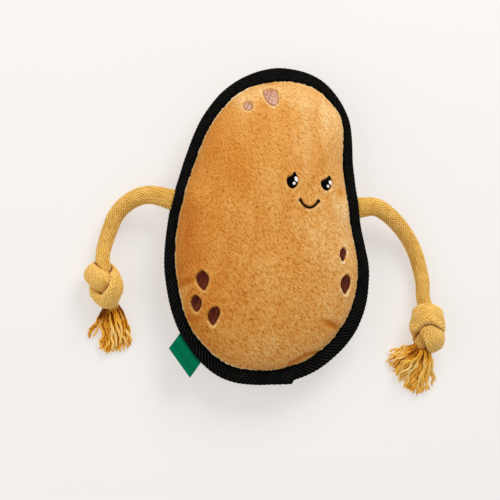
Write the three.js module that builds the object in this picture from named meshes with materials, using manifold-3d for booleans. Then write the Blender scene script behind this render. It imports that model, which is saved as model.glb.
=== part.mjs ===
// A flat plush toy for dogs, shaped like a potato with a smiling face, two rope arms and a
// bound edge. It lies on its back. Millimetres, +Z up out of its face, +Y toward its head.
// Heights are counted from the seam plane, where the two halves of the body meet, and the
// whole group is lifted at the end so that the flat of the back rests on z = 0.
import * as THREE from 'three';
import { mergeVertices } from 'three/addons/utils/BufferGeometryUtils.js';
import Module from 'manifold-3d';

const wasm = await Module();
wasm.setup();

// Body
const bodyWidth = 164;
const bodyLength = 255;
const seamHeight = 24;
const frontCrown = 32;
const backFlat = 0.5;
const headTaperShare = 0.16;
const frontFullnessShare = 2.4;
const backFullnessShare = 3;
const rimFullnessShare = 0.526;
const humpFadeShare = 6;

// Places along half the width and half the length, and how much of the folded tape shows
const outlineShares = [
  [0.922, 0.08, 0.75],
  [0.868, 0.402, 0.77],
  [0.817, 0.712, 0.6],
  [0.553, 0.938, 0.77],
  [0.146, 1.011, 0.94],
  [-0.288, 0.924, 0.8],
  [-0.608, 0.713, 0.75],
  [-0.833, 0.359, 0.65],
  [-0.976, -0.03, 0.62],
  [-0.988, -0.344, 0.72],
  [-0.828, -0.688, 0.74],
  [-0.454, -0.942, 0.95],
  [0.05, -0.988, 0.95],
  [0.528, -0.885, 0.94],
  [0.9, -0.637, 1],
  [1.022, -0.318, 0.84],
];

// Cloth, lining and tape
const plushThickness = 2.2;
const plushSeamThickness = 1.4;
const liningThickness = 0.6;
const liningSeamThickness = 0.5;
const tapeWidth = 25;
const tapeThickness = 1.2;
const tapeEdgeRound = 0.8;
const tapeLapLength = 22;
const tapeLapPlaceShare = 0.746;
const seamGap = 0.3;
const layerGap = 0.4;
const stuffingEdge = 0.5;

// Rope arms
const ropeDiameter = 12.5;
const knotRopeDiameter = 8.3;
const knotGap = 0.6;
const rootWidth = 17;
const rootThickness = 6.7;
const rootSewnLength = 18;
const rootFreeLength = 4.5;
const rootShoulderShare = 0.33;
const rootNeckWidth = 13;
const rootNeckThickness = 10;
const rootHeights = [20, 16.5];
const humpReach = 21;
const humpStep = 3.5;

// Tassels. Each fan opens to both sides of its middle, which is counted from straight down.
const strandThickness = 1.7;
const strandTipShare = 0.7;
const strandCount = 30;
const strandSpreadShare = 0.7;
const strandLengthShares = [0.72, 1];
const strandLengthStep = 2;
const kneePlaceShare = 0.45;
const kneeReachShare = 0.4;
const kneeDropShare = 0.4;
const tasselNeckLength = 2;
const tasselDepth = 9;
const leftFan = { middle: THREE.MathUtils.degToRad(8), half: THREE.MathUtils.degToRad(30), length: 30 };
const rightFan = { middle: THREE.MathUtils.degToRad(-26), half: THREE.MathUtils.degToRad(54), length: 33 };

// Label
const labelLength = 28.5;
const labelReach = 12.5;
const labelThickness = 1;
const labelSkewShare = 0.38;
const labelHeight = -97.5;

// Squeaker
const squeakerRadius = 19;
const squeakerDepth = 22;
const squeakerWall = 1.2;
const squeakerNeckRadius = 5;
const squeakerNeckBore = 3.9;
const squeakerNeckLength = 4;
const reedHolderCollar = 1.2;
const reedHolderLength = 8;
const reedBore = 2.2;
const reedThickness = 0.35;
const reedLength = 6;
const squeakerPlace = new THREE.Vector3(0, -20, 2);

// Sewn face and spots. The face and each spot keep their places as shares of half the width
// and half the length, and the parts of the face are measured from its middle.
const embroideryThickness = 0.8;
const glintThickness = 0.4;
const spotThickness = 0.7;
const patchInnerShare = 0.5;
const patchTopShare = 0.93;
const threadRadius = 0.65;
const faceShares = [0.358, 0.249];
const eyeSpacing = 28.1;
const eyeRadii = [4.3, 4.7];
const lashLength = 4;
const lashWidthShare = 0.22;
const eyes = [
  { name: 'left_eye', side: -1, narrowShare: 1, lashAngle: THREE.MathUtils.degToRad(78) },
  { name: 'right_eye', side: 1, narrowShare: 0.92, lashAngle: THREE.MathUtils.degToRad(76) },
];
const glints = [
  { name: 'left_eye_glint_large', eye: 0, dx: 1.9, dy: 1.5, radii: [1.1, 1.5] },
  { name: 'left_eye_glint_small', eye: 0, dx: 0.3, dy: -1.1, radii: [0.8, 1] },
  { name: 'right_eye_glint_large', eye: 1, dx: 1.7, dy: 1.3, radii: [1, 1.5] },
  { name: 'right_eye_glint_small', eye: 1, dx: 0.2, dy: -1.4, radii: [0.8, 1] },
];
const mouthCorners = [[-8.2, -12.9], [-0.6, -22.6], [6.8, -13.4]];
const spots = [
  { name: 'spot_head_small', placeShares: [-0.232, 0.726], radii: [3.7, 3.1], tilt: 25, pale: true },
  { name: 'spot_head_large', placeShares: [0.016, 0.798], radii: [5.2, 7.2], tilt: 28, pale: true },
  { name: 'spot_left_upper', placeShares: [-0.662, -0.351], radii: [4.3, 7.6], tilt: 10, pale: false },
  { name: 'spot_left_middle', placeShares: [-0.721, -0.496], radii: [3.6, 6], tilt: 14, pale: false },
  { name: 'spot_left_lower', placeShares: [-0.554, -0.57], radii: [4.2, 6.8], tilt: 24, pale: false },
  { name: 'spot_right_upper', placeShares: [0.712, -0.184], radii: [2.4, 5], tilt: -8, pale: false },
  { name: 'spot_right_lower', placeShares: [0.74, -0.365], radii: [3.4, 7.2], tilt: -10, pale: false },
];

// Routes of the rope arms, chosen by hand from the seam to the tassel. The first list of each
// is the arch, the second the overhand knot as it is tied, before it is pulled tight.
const leftArch = [
  [-92.3, 23.6, -0.8], [-101, 22.6, -4], [-110.9, 17.5, -8.5], [-119.2, 8.4, -12.5],
  [-123.8, -2.7, -14.5], [-126.9, -12.3, -14.8], [-129, -20.5, -13.4],
];
const leftKnot = [
  [-129.6, -24.7, -10], [-130, -30.4, -9], [-130.3, -37.4, -9.5], [-130.5, -44.4, -11],
  [-130.4, -51.5, -12], [-129.2, -59.8, -11], [-126.2, -67, -7], [-123.4, -66.4, -3],
  [-122.3, -59.5, 0], [-122.4, -51.3, 0], [-123.2, -43.2, -5], [-125.3, -36.7, -13],
  [-128.9, -33.6, -19], [-133, -33.3, -18], [-135.2, -35.9, -10], [-135.4, -39.6, -2],
  [-132.8, -42, 1.5], [-129.1, -44, 0], [-126.6, -47.5, -6], [-124.8, -52.1, -13],
  [-123, -57.8, -18], [-122.3, -62.9, -19], [-121.7, -66.9, -19], [-121.1, -70, -19],
];
const rightArch = [
  [92, 16.8, -0.8], [98.5, 13.8, -3.2], [106.5, 8.3, -6.6], [115.3, 0.2, -11],
  [122.5, -9.3, -14], [128.2, -21.2, -15.5], [131.4, -33.7, -15.3], [132.6, -43, -13.6],
];
const rightKnot = [
  [132.5, -51.2, -13], [132.7, -57, -12.5], [133.9, -64.3, -12.5], [135.9, -72.5, -12.5],
  [137, -80.8, -8], [137.8, -88.3, -2.5], [138.8, -94.3, -4], [139.2, -99.1, -11],
  [138.2, -95.3, -18.5], [135.5, -87.9, -19], [134, -80.6, -17], [131.7, -72.2, -10],
  [129.7, -66.1, -1.5], [131, -63.7, 2.5], [134, -64.4, 2.5], [137.1, -68, -2.5],
  [139.6, -75, -10], [138.5, -82.3, -14.5], [134.3, -87.3, -12], [130.4, -91.8, -9],
  [129.4, -95.9, -10], [128.9, -99.5, -13],
];
const knotSteps = 52;
const knotHeldPoints = 2;
const tighteningRounds = 200;
const tensionShare = 0.08;
const pushShare = 0.9;
const finalSlackRounds = 90;
const finalTensionShare = 0.02;
const squeezeLeadPoints = 2;
const squeezePoints = 3;
const archSteps = 13;
const ropeSides = 8;

// Facets
const seamDivisions = 600;
const seamSteps = 44;
const outerDomeShares = [0.985, 0.945, 0.87, 0.77, 0.63, 0.45, 0.24];
const innerDomeShares = [0.96, 0.84, 0.58];
const roundSides = 12;
const glintSides = 8;
const latheSides = 20;
const latheSteps = 8;
const mouthSteps = 10;
const threadSides = 6;
const strandSides = 4;
const roundCapShares = [0.25, 0.6, 0.88];

const halfWidth = bodyWidth / 2;
const halfLength = bodyLength / 2;
const foldedTape = tapeWidth / 2;
const liningBottom = seamGap / 2;
const liningTop = liningBottom + liningSeamThickness;
const plushBottom = liningTop + seamGap;
const plushTop = plushBottom + plushSeamThickness;
const tapeBottom = plushTop + seamGap;
const tapeTop = tapeBottom + tapeThickness;
const humpHeight = rootThickness / 2 + seamGap - liningBottom;
const floor = -seamHeight;

const plushMaterial = cloth('#d8984a', 0.95);
const liningMaterial = cloth('#e6e2d8', 0.9);
const fillMaterial = cloth('#f4f2ec', 1);
const tapeMaterial = cloth('#17171a', 0.85);
const ropeMaterial = cloth('#dcab52', 0.9);
const darkThreadMaterial = cloth('#141214', 0.6);
const whiteThreadMaterial = cloth('#f5f3ef', 0.5);
const darkSpotMaterial = cloth('#5c2d20', 0.8);
const paleSpotMaterial = cloth('#b07a5c', 0.8);
const labelMaterial = cloth('#00694a', 0.7);
const plasticMaterial = cloth('#e9ecef', 0.35);

function cloth(color, roughness) {
  return new THREE.MeshStandardMaterial({ color, roughness, metalness: 0 });
}

// The faces between each ring of points and the next, for so many rings
function walls(rings, count) {
  const sides = rings[0].length;
  const index = [];
  for (let r = 0; r < count; r += 1) {
    const a = r * sides;
    const b = ((r + 1) % rings.length) * sides;
    for (let s = 0; s < sides; s += 1) {
      const n = (s + 1) % sides;
      index.push(a + s, a + n, b + n, a + s, b + n, b + s);
    }
  }
  return index;
}

// A closed surface through rings of points. It ends in a pole point at each end, or, with no
// poles, its last ring joins its first.
function skin(rings, startPole, endPole) {
  const sides = rings[0].length;
  const points = rings.flat();
  if (!startPole) {
    return facingOut(points, walls(rings, rings.length));
  }
  const index = walls(rings, rings.length - 1);
  const first = points.push(startPole) - 1;
  const last = points.push(endPole) - 1;
  const b = (rings.length - 1) * sides;
  for (let s = 0; s < sides; s += 1) {
    const n = (s + 1) % sides;
    index.push(first, n, s, last, b + s, b + n);
  }
  return facingOut(points, index);
}

function facingOut(points, index) {
  const geometry = new THREE.BufferGeometry().setFromPoints(points);
  geometry.setIndex(signedVolume(points, index) > 0 ? index : index.reverse());
  geometry.computeVertexNormals();
  return geometry;
}

function signedVolume(points, index) {
  let sum = 0;
  const cross = new THREE.Vector3();
  for (let i = 0; i < index.length; i += 3) {
    cross.crossVectors(points[index[i + 1]], points[index[i + 2]]);
    sum += points[index[i]].dot(cross);
  }
  return sum;
}

function solid(geometry) {
  const bare = geometry.clone();
  bare.deleteAttribute('normal');
  bare.deleteAttribute('uv');
  const merged = mergeVertices(bare);
  const vertProperties = new Float32Array(merged.attributes.position.array);
  const triVerts = new Uint32Array(merged.index.array);
  return new wasm.Manifold(new wasm.Mesh({ numProp: 3, vertProperties, triVerts }));
}

function geometryOf(manifold) {
  const mesh = manifold.getMesh();
  const geometry = new THREE.BufferGeometry();
  geometry.setAttribute('position', new THREE.BufferAttribute(mesh.vertProperties.slice(), 3));
  geometry.setIndex(new THREE.BufferAttribute(mesh.triVerts.slice(), 1));
  geometry.computeVertexNormals();
  return geometry;
}

const group = new THREE.Group();

function add(name, geometry, material, pivot) {
  if (pivot) {
    geometry.translate(-pivot.x, -pivot.y, -pivot.z);
  }
  const mesh = new THREE.Mesh(geometry, material);
  if (pivot) {
    mesh.position.copy(pivot);
  }
  mesh.name = name;
  group.add(mesh);
  mesh.updateMatrixWorld();
  return mesh;
}

// Outline of the seam

const outline = new THREE.CatmullRomCurve3(
  outlineShares.map(([x, y, tape]) => new THREE.Vector3(x * halfWidth, y * halfLength, tape * foldedTape)),
  true,
  'centripetal',
);
outline.arcLengthDivisions = seamDivisions;
const seamLength = outline.getLength();

// The share of the seam at which it passes a height on the left or the right side
function seamShareAt(side, height) {
  for (let i = 0; i < seamDivisions; i += 1) {
    const a = outline.getPointAt(i / seamDivisions);
    const b = outline.getPointAt((i + 1) / seamDivisions);
    const passes = (a.y - height) * (b.y - height) <= 0;
    if (passes && Math.sign(a.x) === side && a.y !== b.y) {
      return (i + (height - a.y) / (b.y - a.y)) / seamDivisions;
    }
  }
  throw new Error('the seam does not reach this height');
}

const rootShares = [seamShareAt(-1, rootHeights[0]), seamShareAt(1, rootHeights[1])];

function seamDistance(shareA, shareB) {
  const apart = Math.abs(shareA - shareB);
  return Math.min(apart, 1 - apart) * seamLength;
}

function station(share) {
  const at = outline.getPointAt(share);
  const along = outline.getTangentAt(share).setZ(0).normalize();
  let hump = 0;
  for (const root of rootShares) {
    const near = Math.min(1, seamDistance(share, root) / humpReach);
    hump += humpHeight * Math.cos((near * Math.PI) / 2) ** 2;
  }
  return {
    share,
    point: new THREE.Vector3(at.x, at.y, 0),
    out: new THREE.Vector3(along.y, -along.x, 0),
    along,
    tape: at.z,
    hump,
  };
}

function seamStations() {
  const shares = [];
  for (let i = 0; i < seamSteps; i += 1) {
    const share = i / seamSteps;
    if (rootShares.every((root) => seamDistance(share, root) > humpReach + humpStep)) {
      shares.push(share);
    }
  }
  const perSide = Math.round(humpReach / humpStep);
  for (const root of rootShares) {
    for (let k = -perSide; k <= perSide; k += 1) {
      shares.push((root + (k * humpStep) / seamLength + 1) % 1);
    }
  }
  return shares.sort((a, b) => a - b).map(station);
}

const stations = seamStations();

// A place in the seam allowance: so far in from the edge, and so high
function seamPoint(at, inset, height) {
  return at.point.clone().addScaledVector(at.out, -inset).setZ(height);
}

// The stuffed half of a layer, from its rim to the middle of the body. Its height is a share
// of the crown that grows fast at the rim and levels off.
function domeRing(side, inset, base, crown, domeShare) {
  const fullness = side > 0 ? frontFullnessShare : backFullnessShare;
  const rise = (1 - domeShare ** fullness) ** rimFullnessShare;
  return stations.map((at) => {
    const place = seamPoint(at, at.tape + inset, 0).multiplyScalar(domeShare);
    const taper = side > 0 ? 1 - headTaperShare * Math.max(0, place.y / halfLength) ** 2 : 1;
    const height = base + at.hump * domeShare ** humpFadeShare + (crown - base) * rise * taper;
    return place.setZ(side * Math.min(height, crownLimit(side, crown)));
  });
}

// The back is cut flat where it lies on the floor
function crownLimit(side, crown) {
  return side > 0 ? crown : crown - backFlat;
}

function domePole(side, crown) {
  return new THREE.Vector3(0, 0, side * crownLimit(side, crown));
}

function crownOf(side) {
  return side > 0 ? frontCrown : seamHeight + backFlat;
}

function flangeRing(side, inset, height) {
  return stations.map((at) => seamPoint(at, inset, side * (height + at.hump)));
}

function rimRing(side, inset, height) {
  return stations.map((at) => seamPoint(at, at.tape + inset, side * (height + at.hump)));
}

const clothEdge = tapeThickness + seamGap;
const plushRim = seamGap;
const plushInnerRim = plushRim + plushThickness;
const liningRim = plushInnerRim + layerGap;
const liningInnerRim = liningRim + liningThickness;
const stuffingRim = liningInnerRim + layerGap;

// One panel of the skin: a flat seam allowance under the tape, then the stuffed dome
function panelGeometry(side) {
  const outer = crownOf(side);
  const inner = outer - plushThickness;
  const rings = [
    ...outerDomeShares.map((share) => domeRing(side, plushRim, plushTop, outer, share)).reverse(),
    rimRing(side, plushRim, plushTop),
    flangeRing(side, clothEdge, plushTop),
    flangeRing(side, clothEdge, plushBottom),
    rimRing(side, plushInnerRim, plushBottom),
    ...innerDomeShares.map((share) => domeRing(side, plushInnerRim, plushBottom, inner, share)),
  ];
  return skin(rings, domePole(side, outer), domePole(side, inner));
}

function liningGeometry(side) {
  const outer = crownOf(side) - plushThickness - layerGap;
  const inner = outer - liningThickness;
  const rings = [
    ...innerDomeShares.map((share) => domeRing(side, liningRim, liningTop, outer, share)).reverse(),
    rimRing(side, liningRim, liningTop),
    flangeRing(side, clothEdge, liningTop),
    flangeRing(side, clothEdge, liningBottom),
    rimRing(side, liningInnerRim, liningBottom),
    ...innerDomeShares.map((share) => domeRing(side, liningInnerRim, liningBottom, inner, share)),
  ];
  return skin(rings, domePole(side, outer), domePole(side, inner));
}

// Half of the filling, with the bed of the squeaker and the sewn ends of the ropes let into it
function stuffingGeometry(side, hollows) {
  const crown = crownOf(side) - plushThickness - liningThickness - 2 * layerGap;
  const bottom = side * liningBottom;
  const rings = [
    ...innerDomeShares.map((share) => domeRing(side, stuffingRim, stuffingEdge, crown, share)).reverse(),
    rimRing(side, stuffingRim, stuffingEdge),
    stations.map((at) => seamPoint(at, at.tape + stuffingRim, bottom)),
  ];
  let body = solid(skin(rings, domePole(side, crown), new THREE.Vector3(0, 0, bottom)));
  for (const hollow of hollows) {
    body = body.subtract(hollow);
  }
  return geometryOf(body);
}

// The folded tape round the edge: a U that opens inward, with the end of the tape lapped over
// its start, and a slot on each side where a rope comes out
function tapeRing(at, lift) {
  const top = tapeTop + at.hump + lift;
  const bottom = tapeBottom + at.hump + lift / 2;
  const rounded = top - tapeEdgeRound;
  const edge = at.tape - lift / 2;
  const web = tapeThickness - lift / 2;
  const section = [
    [edge, top], [tapeEdgeRound - lift, top], [-lift, rounded],
    [-lift, -rounded], [tapeEdgeRound - lift, -top], [edge, -top],
    [edge, -bottom], [web, -bottom], [web, bottom], [edge, bottom],
  ];
  return section.map(([inset, height]) => seamPoint(at, inset, height));
}

function ringMiddle(ring) {
  const middle = new THREE.Vector3();
  for (const point of ring) {
    middle.add(point);
  }
  return middle.divideScalar(ring.length);
}

// The lap is a short sweep of the same section, closed by a flat face at each end
function lapGeometry() {
  const half = tapeLapLength / 2 / seamLength;
  const places = [-half, 0, half].map((offset) => station(tapeLapPlaceShare + offset));
  const rings = places.map((at) => tapeRing(at, tapeThickness));
  const middle = places[1];
  const section = rings[1].map((point) => {
    return new THREE.Vector2(point.clone().sub(middle.point).dot(middle.out), point.z);
  });
  const index = walls(rings, rings.length - 1);
  const last = (rings.length - 1) * section.length;
  for (const [a, b, c] of THREE.ShapeUtils.triangulateShape(section, [])) {
    index.push(a, b, c, last + a, last + c, last + b);
  }
  return facingOut(rings.flat(), index);
}

// Rope

// Rings round a path. The section keeps its turn from one ring to the next, so it never twists.
function tubeRings(path, radii, sides) {
  const rings = [];
  const side = new THREE.Vector3();
  let normal = new THREE.Vector3(0, 0, 1);
  for (let i = 0; i < path.length; i += 1) {
    const before = path[Math.max(0, i - 1)];
    const after = path[Math.min(path.length - 1, i + 1)];
    const along = after.clone().sub(before).normalize();
    side.crossVectors(along, normal).normalize();
    normal = new THREE.Vector3().crossVectors(side, along).normalize();
    const ring = [];
    for (let s = 0; s < sides; s += 1) {
      const angle = (s / sides) * 2 * Math.PI;
      const point = path[i].clone();
      point.addScaledVector(side, Math.cos(angle) * radii[i]);
      point.addScaledVector(normal, Math.sin(angle) * radii[i]);
      ring.push(point);
    }
    rings.push(ring);
  }
  return rings;
}

// A tube whose first end is rounded about its pivot, so that it can turn there without
// touching what it meets. Its other end is flat.
function roundedTube(pivot, path, radii, sides) {
  const start = path[0].clone().sub(pivot).normalize();
  const capReaches = roundCapShares.map((share) => radii[0] * (share - 1));
  const capPath = capReaches.map((reach) => pivot.clone().addScaledVector(start, reach));
  const capRadii = roundCapShares.map((share) => radii[0] * Math.sqrt(1 - (1 - share) ** 2));
  const fullPath = [...capPath, pivot.clone(), ...path];
  const fullRadii = [...capRadii, radii[0], ...radii];
  const rings = tubeRings(fullPath, fullRadii, sides);
  return skin(rings, pivot.clone().addScaledVector(start, -radii[0]), path[path.length - 1]);
}

// An overhand knot is tied loosely and then pulled tight. Each round draws the rope straighter
// and pushes apart any two stretches that come closer than one rope's width, and the floor
// holds the rope up. Both ends of the knot are held.
function tightenKnot(loosePoints) {
  const loose = new THREE.CatmullRomCurve3(loosePoints, false, 'centripetal');
  let points = loose.getSpacedPoints(knotSteps);
  const spacing = knotRopeDiameter + knotGap;
  const lowest = floor + knotRopeDiameter / 2;
  for (let round = 0; round < tighteningRounds; round += 1) {
    const last = round >= tighteningRounds - finalSlackRounds;
    const tension = last ? finalTensionShare : tensionShare;
    points = relaxed(points, spacing + (last ? knotGap : 0), lowest, tension);
  }
  return points;
}

function relaxed(points, spacing, lowest, tension) {
  const moves = points.map(() => new THREE.Vector3());
  const travelled = travelledAlong(points);
  const turn = (spacing * Math.PI) / 2;
  const apart = new THREE.Vector3();
  for (let i = 0; i < points.length; i += 1) {
    for (let j = i + 1; j < points.length; j += 1) {
      apart.subVectors(points[j], points[i]);
      const distance = apart.length();
      if (distance < spacing && travelled[j] - travelled[i] > turn) {
        apart.multiplyScalar((pushShare * (spacing - distance)) / distance / 2);
        moves[j].add(apart);
        moves[i].sub(apart);
      }
    }
  }
  return points.map((point, i) => {
    if (i < knotHeldPoints || i >= points.length - knotHeldPoints) {
      return point;
    }
    const middle = points[i - 1].clone().add(points[i + 1]).multiplyScalar(0.5);
    const moved = point.clone().lerp(middle, tension).add(moves[i]);
    return moved.setZ(Math.max(moved.z, lowest));
  });
}

// The length of a path up to each of its points
function travelledAlong(path) {
  const travelled = [0];
  for (let i = 1; i < path.length; i += 1) {
    travelled.push(travelled[i - 1] + path[i].distanceTo(path[i - 1]));
  }
  return travelled;
}

function vectors(list) {
  return list.map(([x, y, z]) => new THREE.Vector3(x, y, z));
}

// The least gap of a tube to itself, leaving out the stretch that a turn of the rope spans
function leastGap(path, radii) {
  let least = Infinity;
  const reach = (knotRopeDiameter * Math.PI) / 2;
  const travelled = travelledAlong(path);
  for (let i = 0; i < path.length; i += 1) {
    for (let j = i + 1; j < path.length; j += 1) {
      if (travelled[j] - travelled[i] > reach) {
        least = Math.min(least, path[i].distanceTo(path[j]) - radii[i] - radii[j]);
      }
    }
  }
  return least;
}

function rootStation(index) {
  return station(rootShares[index]);
}

// The end of a rope arm, pressed flat where it is sewn into the seam
function rootGeometry(index, clearance) {
  const at = rootStation(index);
  const widest = rootWidth / 2;
  const flat = rootThickness / 2;
  const sections = [
    [rootSewnLength + clearance, widest - seamGap, flat - seamGap],
    [foldedTape, widest, flat],
    [0, widest, flat],
    [-rootFreeLength * rootShoulderShare, widest - seamGap, flat],
    [-rootFreeLength - clearance, rootNeckWidth / 2, rootNeckThickness / 2],
  ];
  const rings = sections.map(([inset, width, thickness]) => {
    const middle = seamPoint(at, inset, 0);
    const ring = [];
    for (let s = 0; s < roundSides; s += 1) {
      const angle = (s / roundSides) * 2 * Math.PI;
      const point = middle.clone();
      point.addScaledVector(at.along, Math.cos(angle) * (width + clearance));
      ring.push(point.setZ(Math.sin(angle) * (thickness + clearance)));
    }
    return ring;
  });
  return skin(rings, ringMiddle(rings[0]), ringMiddle(rings[rings.length - 1]));
}

function armPivot(index) {
  const at = rootStation(index);
  return seamPoint(at, -rootFreeLength - seamGap - ropeDiameter / 2, 0);
}

function armPath(index, arch, knot) {
  const tight = tightenKnot(vectors(knot));
  const pivot = armPivot(index);
  const freePoints = [pivot, ...vectors(arch), tight[0], tight[1]];
  const free = new THREE.CatmullRomCurve3(freePoints, false, 'centripetal');
  const reachShare = 1 - tight[0].distanceTo(tight[1]) / free.getLength();
  const path = [];
  for (let i = 1; i < archSteps; i += 1) {
    path.push(free.getPointAt((reachShare * i) / archSteps));
  }
  const knotStart = path.length;
  path.push(...tight);
  const radii = path.map((point, i) => {
    const into = THREE.MathUtils.smoothstep(i, knotStart - squeezeLeadPoints, knotStart + squeezePoints);
    return THREE.MathUtils.lerp(ropeDiameter / 2, knotRopeDiameter / 2, into);
  });
  return { pivot, path, radii };
}

// A tassel: the rope's frayed end. Its strands leave a short neck and fan out to the floor.
// Its root is rounded about the pivot, where it sways against the end of the rope.
function tasselGeometry(pivot, direction, fan) {
  const neckRadius = knotRopeDiameter / 2 - seamGap;
  const neckPath = [pivot.clone().addScaledVector(direction, tasselNeckLength)];
  let whole = solid(roundedTube(pivot, neckPath, [neckRadius], ropeSides));
  const across = new THREE.Vector3(-direction.y, direction.x, 0).normalize();
  const goldenAngle = Math.PI * (3 - Math.sqrt(5));
  const spread = neckRadius * strandSpreadShare;
  const radius = strandThickness / 2;
  for (let i = 0; i < strandCount; i += 1) {
    const reachShare = Math.sqrt((i + 0.5) / strandCount);
    const acrossShare = reachShare * Math.cos(i * goldenAngle);
    const upShare = reachShare * Math.sin(i * goldenAngle);
    const angle = fan.middle + acrossShare * fan.half;
    const evenness = (1 + Math.cos(i * strandLengthStep)) / 2;
    const lengthShare = THREE.MathUtils.lerp(...strandLengthShares, evenness);
    const start = pivot.clone().addScaledVector(direction, neckRadius / 2);
    start.addScaledVector(across, acrossShare * spread);
    start.z += upShare * spread;
    const tip = new THREE.Vector3(Math.sin(angle), -Math.cos(angle), 0);
    tip.multiplyScalar(fan.length * lengthShare).add(pivot);
    tip.z = floor + radius + ((upShare + 1) / 2) * tasselDepth;
    const knee = start.clone().lerp(tip, kneePlaceShare);
    knee.addScaledVector(direction, neckRadius * kneeReachShare);
    knee.z = THREE.MathUtils.lerp(start.z, tip.z, kneeDropShare);
    const rings = tubeRings([start, knee, tip], [radius, radius, radius * strandTipShare], strandSides);
    whole = whole.add(solid(skin(rings, start, tip)));
  }
  return geometryOf(outerBody(whole));
}

// Strands that cross can close off a small pocket between them. Only the outer skin is kept.
function outerBody(manifold) {
  return manifold.decompose().sort((a, b) => b.volume() - a.volume())[0];
}

function addArm(side, index, arch, knot, fan) {
  const { pivot, path, radii } = armPath(index, arch, knot);
  const end = path[path.length - 1];
  const direction = end.clone().sub(path[path.length - 2]).normalize();
  add(`${side}_rope_root`, rootGeometry(index, 0), ropeMaterial);
  const arm = add(`${side}_arm_rope`, roundedTube(pivot, path, radii, ropeSides), ropeMaterial, pivot);
  const sway = end.clone().addScaledVector(direction, knotRopeDiameter / 2);
  const tassel = add(`${side}_tassel`, tasselGeometry(sway, direction, fan), ropeMaterial, sway);
  console.log(`${side} knot, least gap of the rope to itself: ${leastGap(path, radii).toFixed(2)} mm`);
  return [arm, tassel];
}

// Label

// A folded tab held by the tape. Its inner edge follows the seam, and it turns about a line
// just outside the tape.
function addLabel() {
  const share = seamShareAt(-1, labelHeight);
  const at = station(share);
  const pivot = seamPoint(at, -seamGap - labelThickness / 2, 0);
  const half = labelLength / 2 / seamLength;
  const columns = [-1, -0.5, 0, 0.5, 1];
  const rings = columns.map((column) => {
    const near = station(share + column * half);
    const inner = seamPoint(near, -seamGap, 0);
    const outer = pivot.clone().addScaledVector(at.out, labelReach);
    outer.addScaledVector(at.along, (column * labelLength) / 2 + labelSkewShare * labelReach);
    const reach = outer.clone().sub(inner).normalize();
    const foldedEdge = outer.clone().addScaledVector(reach, labelThickness / 2);
    const up = new THREE.Vector3(0, 0, labelThickness / 2);
    const upper = [inner.clone().add(up), outer.clone().add(up)];
    return [...upper, foldedEdge, outer.clone().sub(up), inner.clone().sub(up)];
  });
  const geometry = skin(rings, ringMiddle(rings[0]), ringMiddle(rings[rings.length - 1]));
  add('side_label', geometry, labelMaterial, pivot);
}

// Squeaker

// A blown bulb with a short open neck, which the reed holder plugs
function squeakerProfile(grow) {
  const profile = [];
  const neckShare = Math.asin((squeakerNeckRadius + grow) / (squeakerRadius + grow)) / Math.PI;
  for (let i = 0; i <= latheSteps; i += 1) {
    const angle = Math.PI * (i / latheSteps) * (1 - neckShare);
    const x = (squeakerRadius + grow) * Math.sin(angle);
    const y = -(squeakerDepth / 2 + grow) * Math.cos(angle);
    profile.push(new THREE.Vector2(i === 0 ? 0 : x, y));
  }
  return profile;
}

function upright(profile) {
  const geometry = new THREE.LatheGeometry(profile, latheSides);
  geometry.rotateX(Math.PI / 2);
  geometry.translate(squeakerPlace.x, squeakerPlace.y, squeakerPlace.z);
  return mergedBody(geometry);
}

function mergedBody(geometry) {
  geometry.deleteAttribute('normal');
  geometry.deleteAttribute('uv');
  const merged = mergeVertices(geometry);
  const points = [];
  for (let i = 0; i < merged.attributes.position.count; i += 1) {
    points.push(new THREE.Vector3().fromBufferAttribute(merged.attributes.position, i));
  }
  const index = [];
  for (let i = 0; i < merged.index.count; i += 3) {
    const face = [0, 1, 2].map((k) => merged.index.getX(i + k));
    if (new Set(face).size === 3) {
      index.push(...face);
    }
  }
  return facingOut(points, index);
}

const neckTop = squeakerDepth / 2 + squeakerNeckLength;

function bulbGeometry() {
  const outer = squeakerProfile(0);
  const inner = squeakerProfile(-squeakerWall).reverse();
  const neck = [
    new THREE.Vector2(squeakerNeckRadius, neckTop),
    new THREE.Vector2(squeakerNeckBore, neckTop),
    new THREE.Vector2(squeakerNeckBore, inner[0].y),
  ];
  return upright([...outer, ...neck, ...inner.slice(1)]);
}

function reedHolderGeometry() {
  const plug = squeakerNeckBore - seamGap;
  const collarBottom = neckTop + seamGap;
  const collarTop = collarBottom + reedHolderCollar;
  const plugEnd = collarBottom - reedHolderLength;
  return upright([
    new THREE.Vector2(reedBore, plugEnd),
    new THREE.Vector2(plug, plugEnd),
    new THREE.Vector2(plug, collarBottom),
    new THREE.Vector2(squeakerNeckRadius, collarBottom),
    new THREE.Vector2(squeakerNeckRadius, collarTop),
    new THREE.Vector2(reedBore, collarTop),
    new THREE.Vector2(reedBore, plugEnd),
  ]);
}

function addSqueaker() {
  add('squeaker_bulb', bulbGeometry(), plasticMaterial);
  add('squeaker_reed_holder', reedHolderGeometry(), plasticMaterial);
  const reedWidth = 2 * Math.sqrt((reedBore - seamGap) ** 2 - (reedThickness / 2) ** 2);
  const reed = new THREE.BoxGeometry(reedWidth, reedThickness, reedLength);
  reed.translate(squeakerPlace.x, squeakerPlace.y, squeakerPlace.z + neckTop - reedLength / 2);
  add('squeaker_reed', reed, plasticMaterial);
}

function squeakerBed() {
  const top = neckTop + seamGap + reedHolderCollar + layerGap;
  const bed = squeakerProfile(layerGap);
  bed.push(new THREE.Vector2(squeakerNeckRadius + layerGap, top));
  bed.push(new THREE.Vector2(0, top));
  return solid(upright(bed));
}

// Face and spots

const ray = new THREE.Raycaster();
const down = new THREE.Vector3(0, 0, -1);

function heightOn(carrier, x, y) {
  ray.set(new THREE.Vector3(x, y, frontCrown + plushThickness), down);
  const hit = ray.intersectObject(carrier)[0];
  return hit.point.z;
}

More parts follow.
